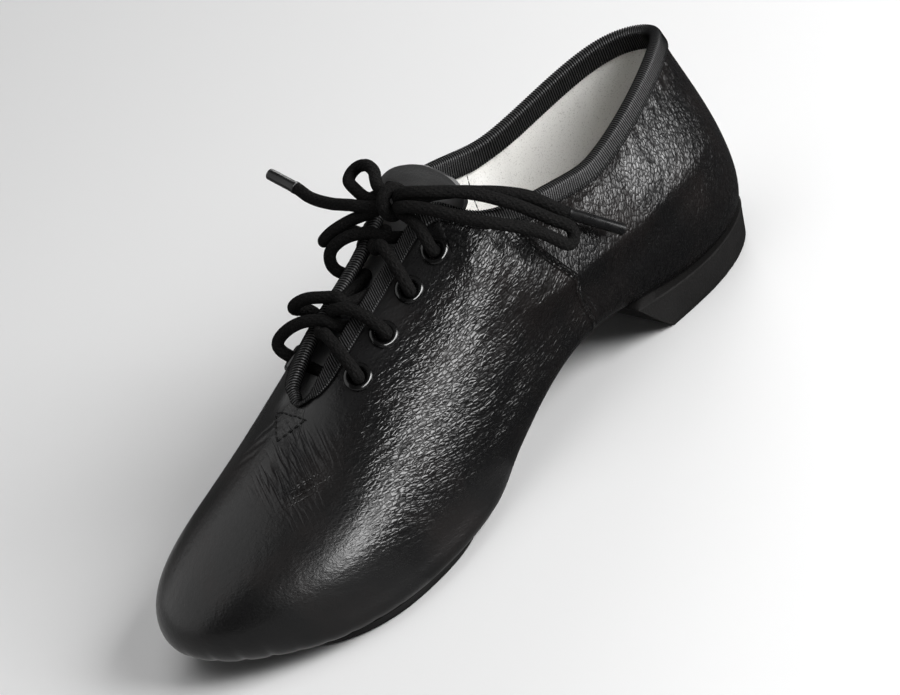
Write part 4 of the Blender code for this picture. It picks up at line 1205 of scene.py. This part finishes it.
def makeCord(name, path, *nodes):
    cord = formedSheet(name, cordRows(path))
    attribute = cord.data.attributes.new("alongAround", "FLOAT_VECTOR", "CORNER")
    uv = np.empty(len(cord.data.loops) * 2)
    cord.data.uv_layers[0].data.foreach_get("uv", uv)
    around, along = uv.reshape(-1, 2).T
    values = np.column_stack([along * runAlong(path)[-1], around * 2 * np.pi, 0 * along])
    attribute.data.foreach_set("vector", values.ravel())
    closeEnds(cord)
    dress(cord, 70, "lace", "lace", *nodes)
    return cord


def crossingRoute(number, side):
    # from inside the eyelet over the edge to the middle of the throat, then under the other facing, mm
    base, axis, _ = places[side, number]
    route = [base / mm + axis * lace["inEyelet"], base / mm, base / mm + axis * lace["rise"]]
    route += [np.array(point) for point in crossings[number - 1][side]]
    if number < eyelet["count"]:
        turn = places["med" if side == "lat" else "lat", number + 1][2]
        for behind, down, lift in lace["underFacing"]:
            route.append(skin(turn + np.sign(turn) * behind, [down * mm], lift * mm)[0, 0] / mm)
    return route


def threadLace():
    halves = ([], [])
    for number in range(1, eyelet["count"] + 1):
        for half, sides in zip(halves, (("lat", "med"), ("med", "lat"))):
            half += crossingRoute(number, sides[(number + 1) % 2])
    # the run under the bottom eyelets joins both halves
    bottom = (halves[0][0] + halves[1][0]) / 2 + lace["bottomOff"]
    path, length = smoothRoute(halves[0][::-1] + [bottom] + halves[1])
    makeCord("lace_through_eyelets", path, "lace_cross_1", "lace_cross_2", "lace_cross_3", "lace_cross_4")
    print("lace through the eyelets, %.0f mm" % (length / mm))


def tieBow():
    turn = np.linspace(0, 1, knot["points"]) * 2 * np.pi * knot["turns"] + knot["start"]
    across = np.linspace(-1, 1, knot["points"]) * knot["spread"]
    ring = np.stack([knot["radii"][0] * np.cos(turn), across, knot["radii"][1] * np.sin(turn)], 1)
    makeCord("lace_knot_wrap", smoothRoute(ring + knot["centre"])[0], "lace_knot")
    for name, route in bow.items():
        path, length = smoothRoute(route)
        cord = makeCord("lace_" + name + "_cord", path, "lace_" + name)
        tip = []
        if name.startswith("end"):
            side = name[-3:]
            tip = [makeTip(side, path[-1], np.array(tips[side]) * mm)]
        print("lace", name, "%.0f mm" % (length / mm))


# sleeve pressed on the cord's end, mm: radius, and how far from the cord's end or from the far end
tipProfile = {"near": ((0.05, 0.2), (1.72, 0.2), (1.98, 0.45), (1.98, 1.4), (1.84, 1.8)),
              "far": ((1.82, -0.5), (1.76, -0.85), (1.4, -1.0), (0.05, -1.0)), "sides": 28}


def makeTip(side, start, end):
    length = np.linalg.norm(end - start) / mm
    profile = tipProfile["near"] + tuple((r, length + z) for r, z in tipProfile["far"])
    points = turnedPoints(profile, tipProfile["sides"]) @ turnTo(unit(end - start)).T + start
    piece = formedSheet(f"aglet_{side}_sleeve", points, closed=True)
    closeEnds(piece)
    dress(piece, 45, "sleeve", "lace_tip", f"aglet_{side}")
    return piece


threadLace()
tieBow()

# floor, light and camera, m
studio = {"floorSize": 6.0, "floorDrop": 0.0001, "floorColour": (0.86, 0.86, 0.86), "worldColour": (1, 1, 1),
          "worldStrength": 0.07, "lightAim": (0, 0, 0.04), "cardAimHeight": 1.0}
# area lights: place, size, watts, what they light; cards lie on the floor and light straight up
lights = {
    "keyBox": ((-0.08, 1.09, 0.51), (1.6, 0.38), 37, "glossy"),
    "sideBox": ((-0.77, 0.92, 0.2), (0.8, 0.54), 9, "glossy"),
    "toeCard": ((0.33, 0.1, 0.001), (0.54, 0.8), 0.5, "glossy"),
    "ballCard": ((0.035, 0.28, 0.001), (0.05, 0.5), 0.014, "glossy"),
    "liningBox": ((-0.53, 1.0, 0.7), (0.8, 0.7), 23, "diffuse"),
    "topBox": ((0.1, 0.1, 1.6), (1.6, 1.4), 9, "diffuse"),
    "toeBox": ((0.89, -0.89, 0.98), (2.2, 2.2), 15.5, "glossy"),
    "backBox": ((-1.1, -0.75, 0.5), (0.6, 0.5), 5, "diffuse and glossy"),
}
# camera, mm from the heel back
view = {"place": (512.85, 682.91, 491.40), "aim": (118.6, 0.0, 34.4), "roll": -26.77, "lens": 121.0,
        "sensor": 36}


def layFloor():
    deselectAll()
    bpy.ops.mesh.primitive_plane_add(size=studio["floorSize"], location=(0, 0, -studio["floorDrop"]))
    floor = bpy.context.object
    floor.name = "studio_floor"
    floor.visible_glossy = False
    floor.data.materials.append(Finish("paleFloor", studio["floorColour"], 0.6).material)
    world = bpy.data.worlds.new("studioWorld")
    world.use_nodes = True
    backdrop = world.node_tree.nodes["Background"]
    backdrop.inputs["Color"].default_value = (*studio["worldColour"], 1)
    backdrop.inputs["Strength"].default_value = studio["worldStrength"]
    bpy.context.scene.world = world


def looking(place, aim):
    return (Vector(aim) - Vector(place)).to_track_quat("-Z", "Y")


def placed(name, data):
    holder = bpy.data.objects.new(name, data)
    bpy.context.collection.objects.link(holder)
    return holder


def hangLights():
    for name, (place, size, watts, kinds) in lights.items():
        lamp = bpy.data.lights.new(name, "AREA")
        lamp.shape = "RECTANGLE"
        lamp.size, lamp.size_y = size
        lamp.energy = watts
        holder = placed(name, lamp)
        holder.location = place
        holder.visible_diffuse = "diffuse" in kinds
        holder.visible_glossy = "glossy" in kinds
        holder.visible_camera = False
        up = (*place[:2], studio["cardAimHeight"])
        holder.rotation_euler = looking(place, up if "Card" in name else studio["lightAim"]).to_euler()


def setCamera():
    lens = bpy.data.cameras.new("photoView")
    lens.lens = view["lens"]
    lens.sensor_width = view["sensor"]
    lens.clip_start = 0.01
    camera = placed("photoView", lens)
    place, aim = (np.array(view[key]) * mm + heelBackToMiddle for key in ("place", "aim"))
    turn = looking(place, aim).to_matrix().to_4x4() @ Matrix.Rotation(np.radians(view["roll"]), 4, "Z")
    camera.matrix_world = Matrix.Translation(Vector(place)) @ turn
    bpy.context.scene.camera = camera
    bpy.context.scene.view_settings.view_transform = "Standard"


layFloor()
hangLights()
setCamera()
print("studio set")
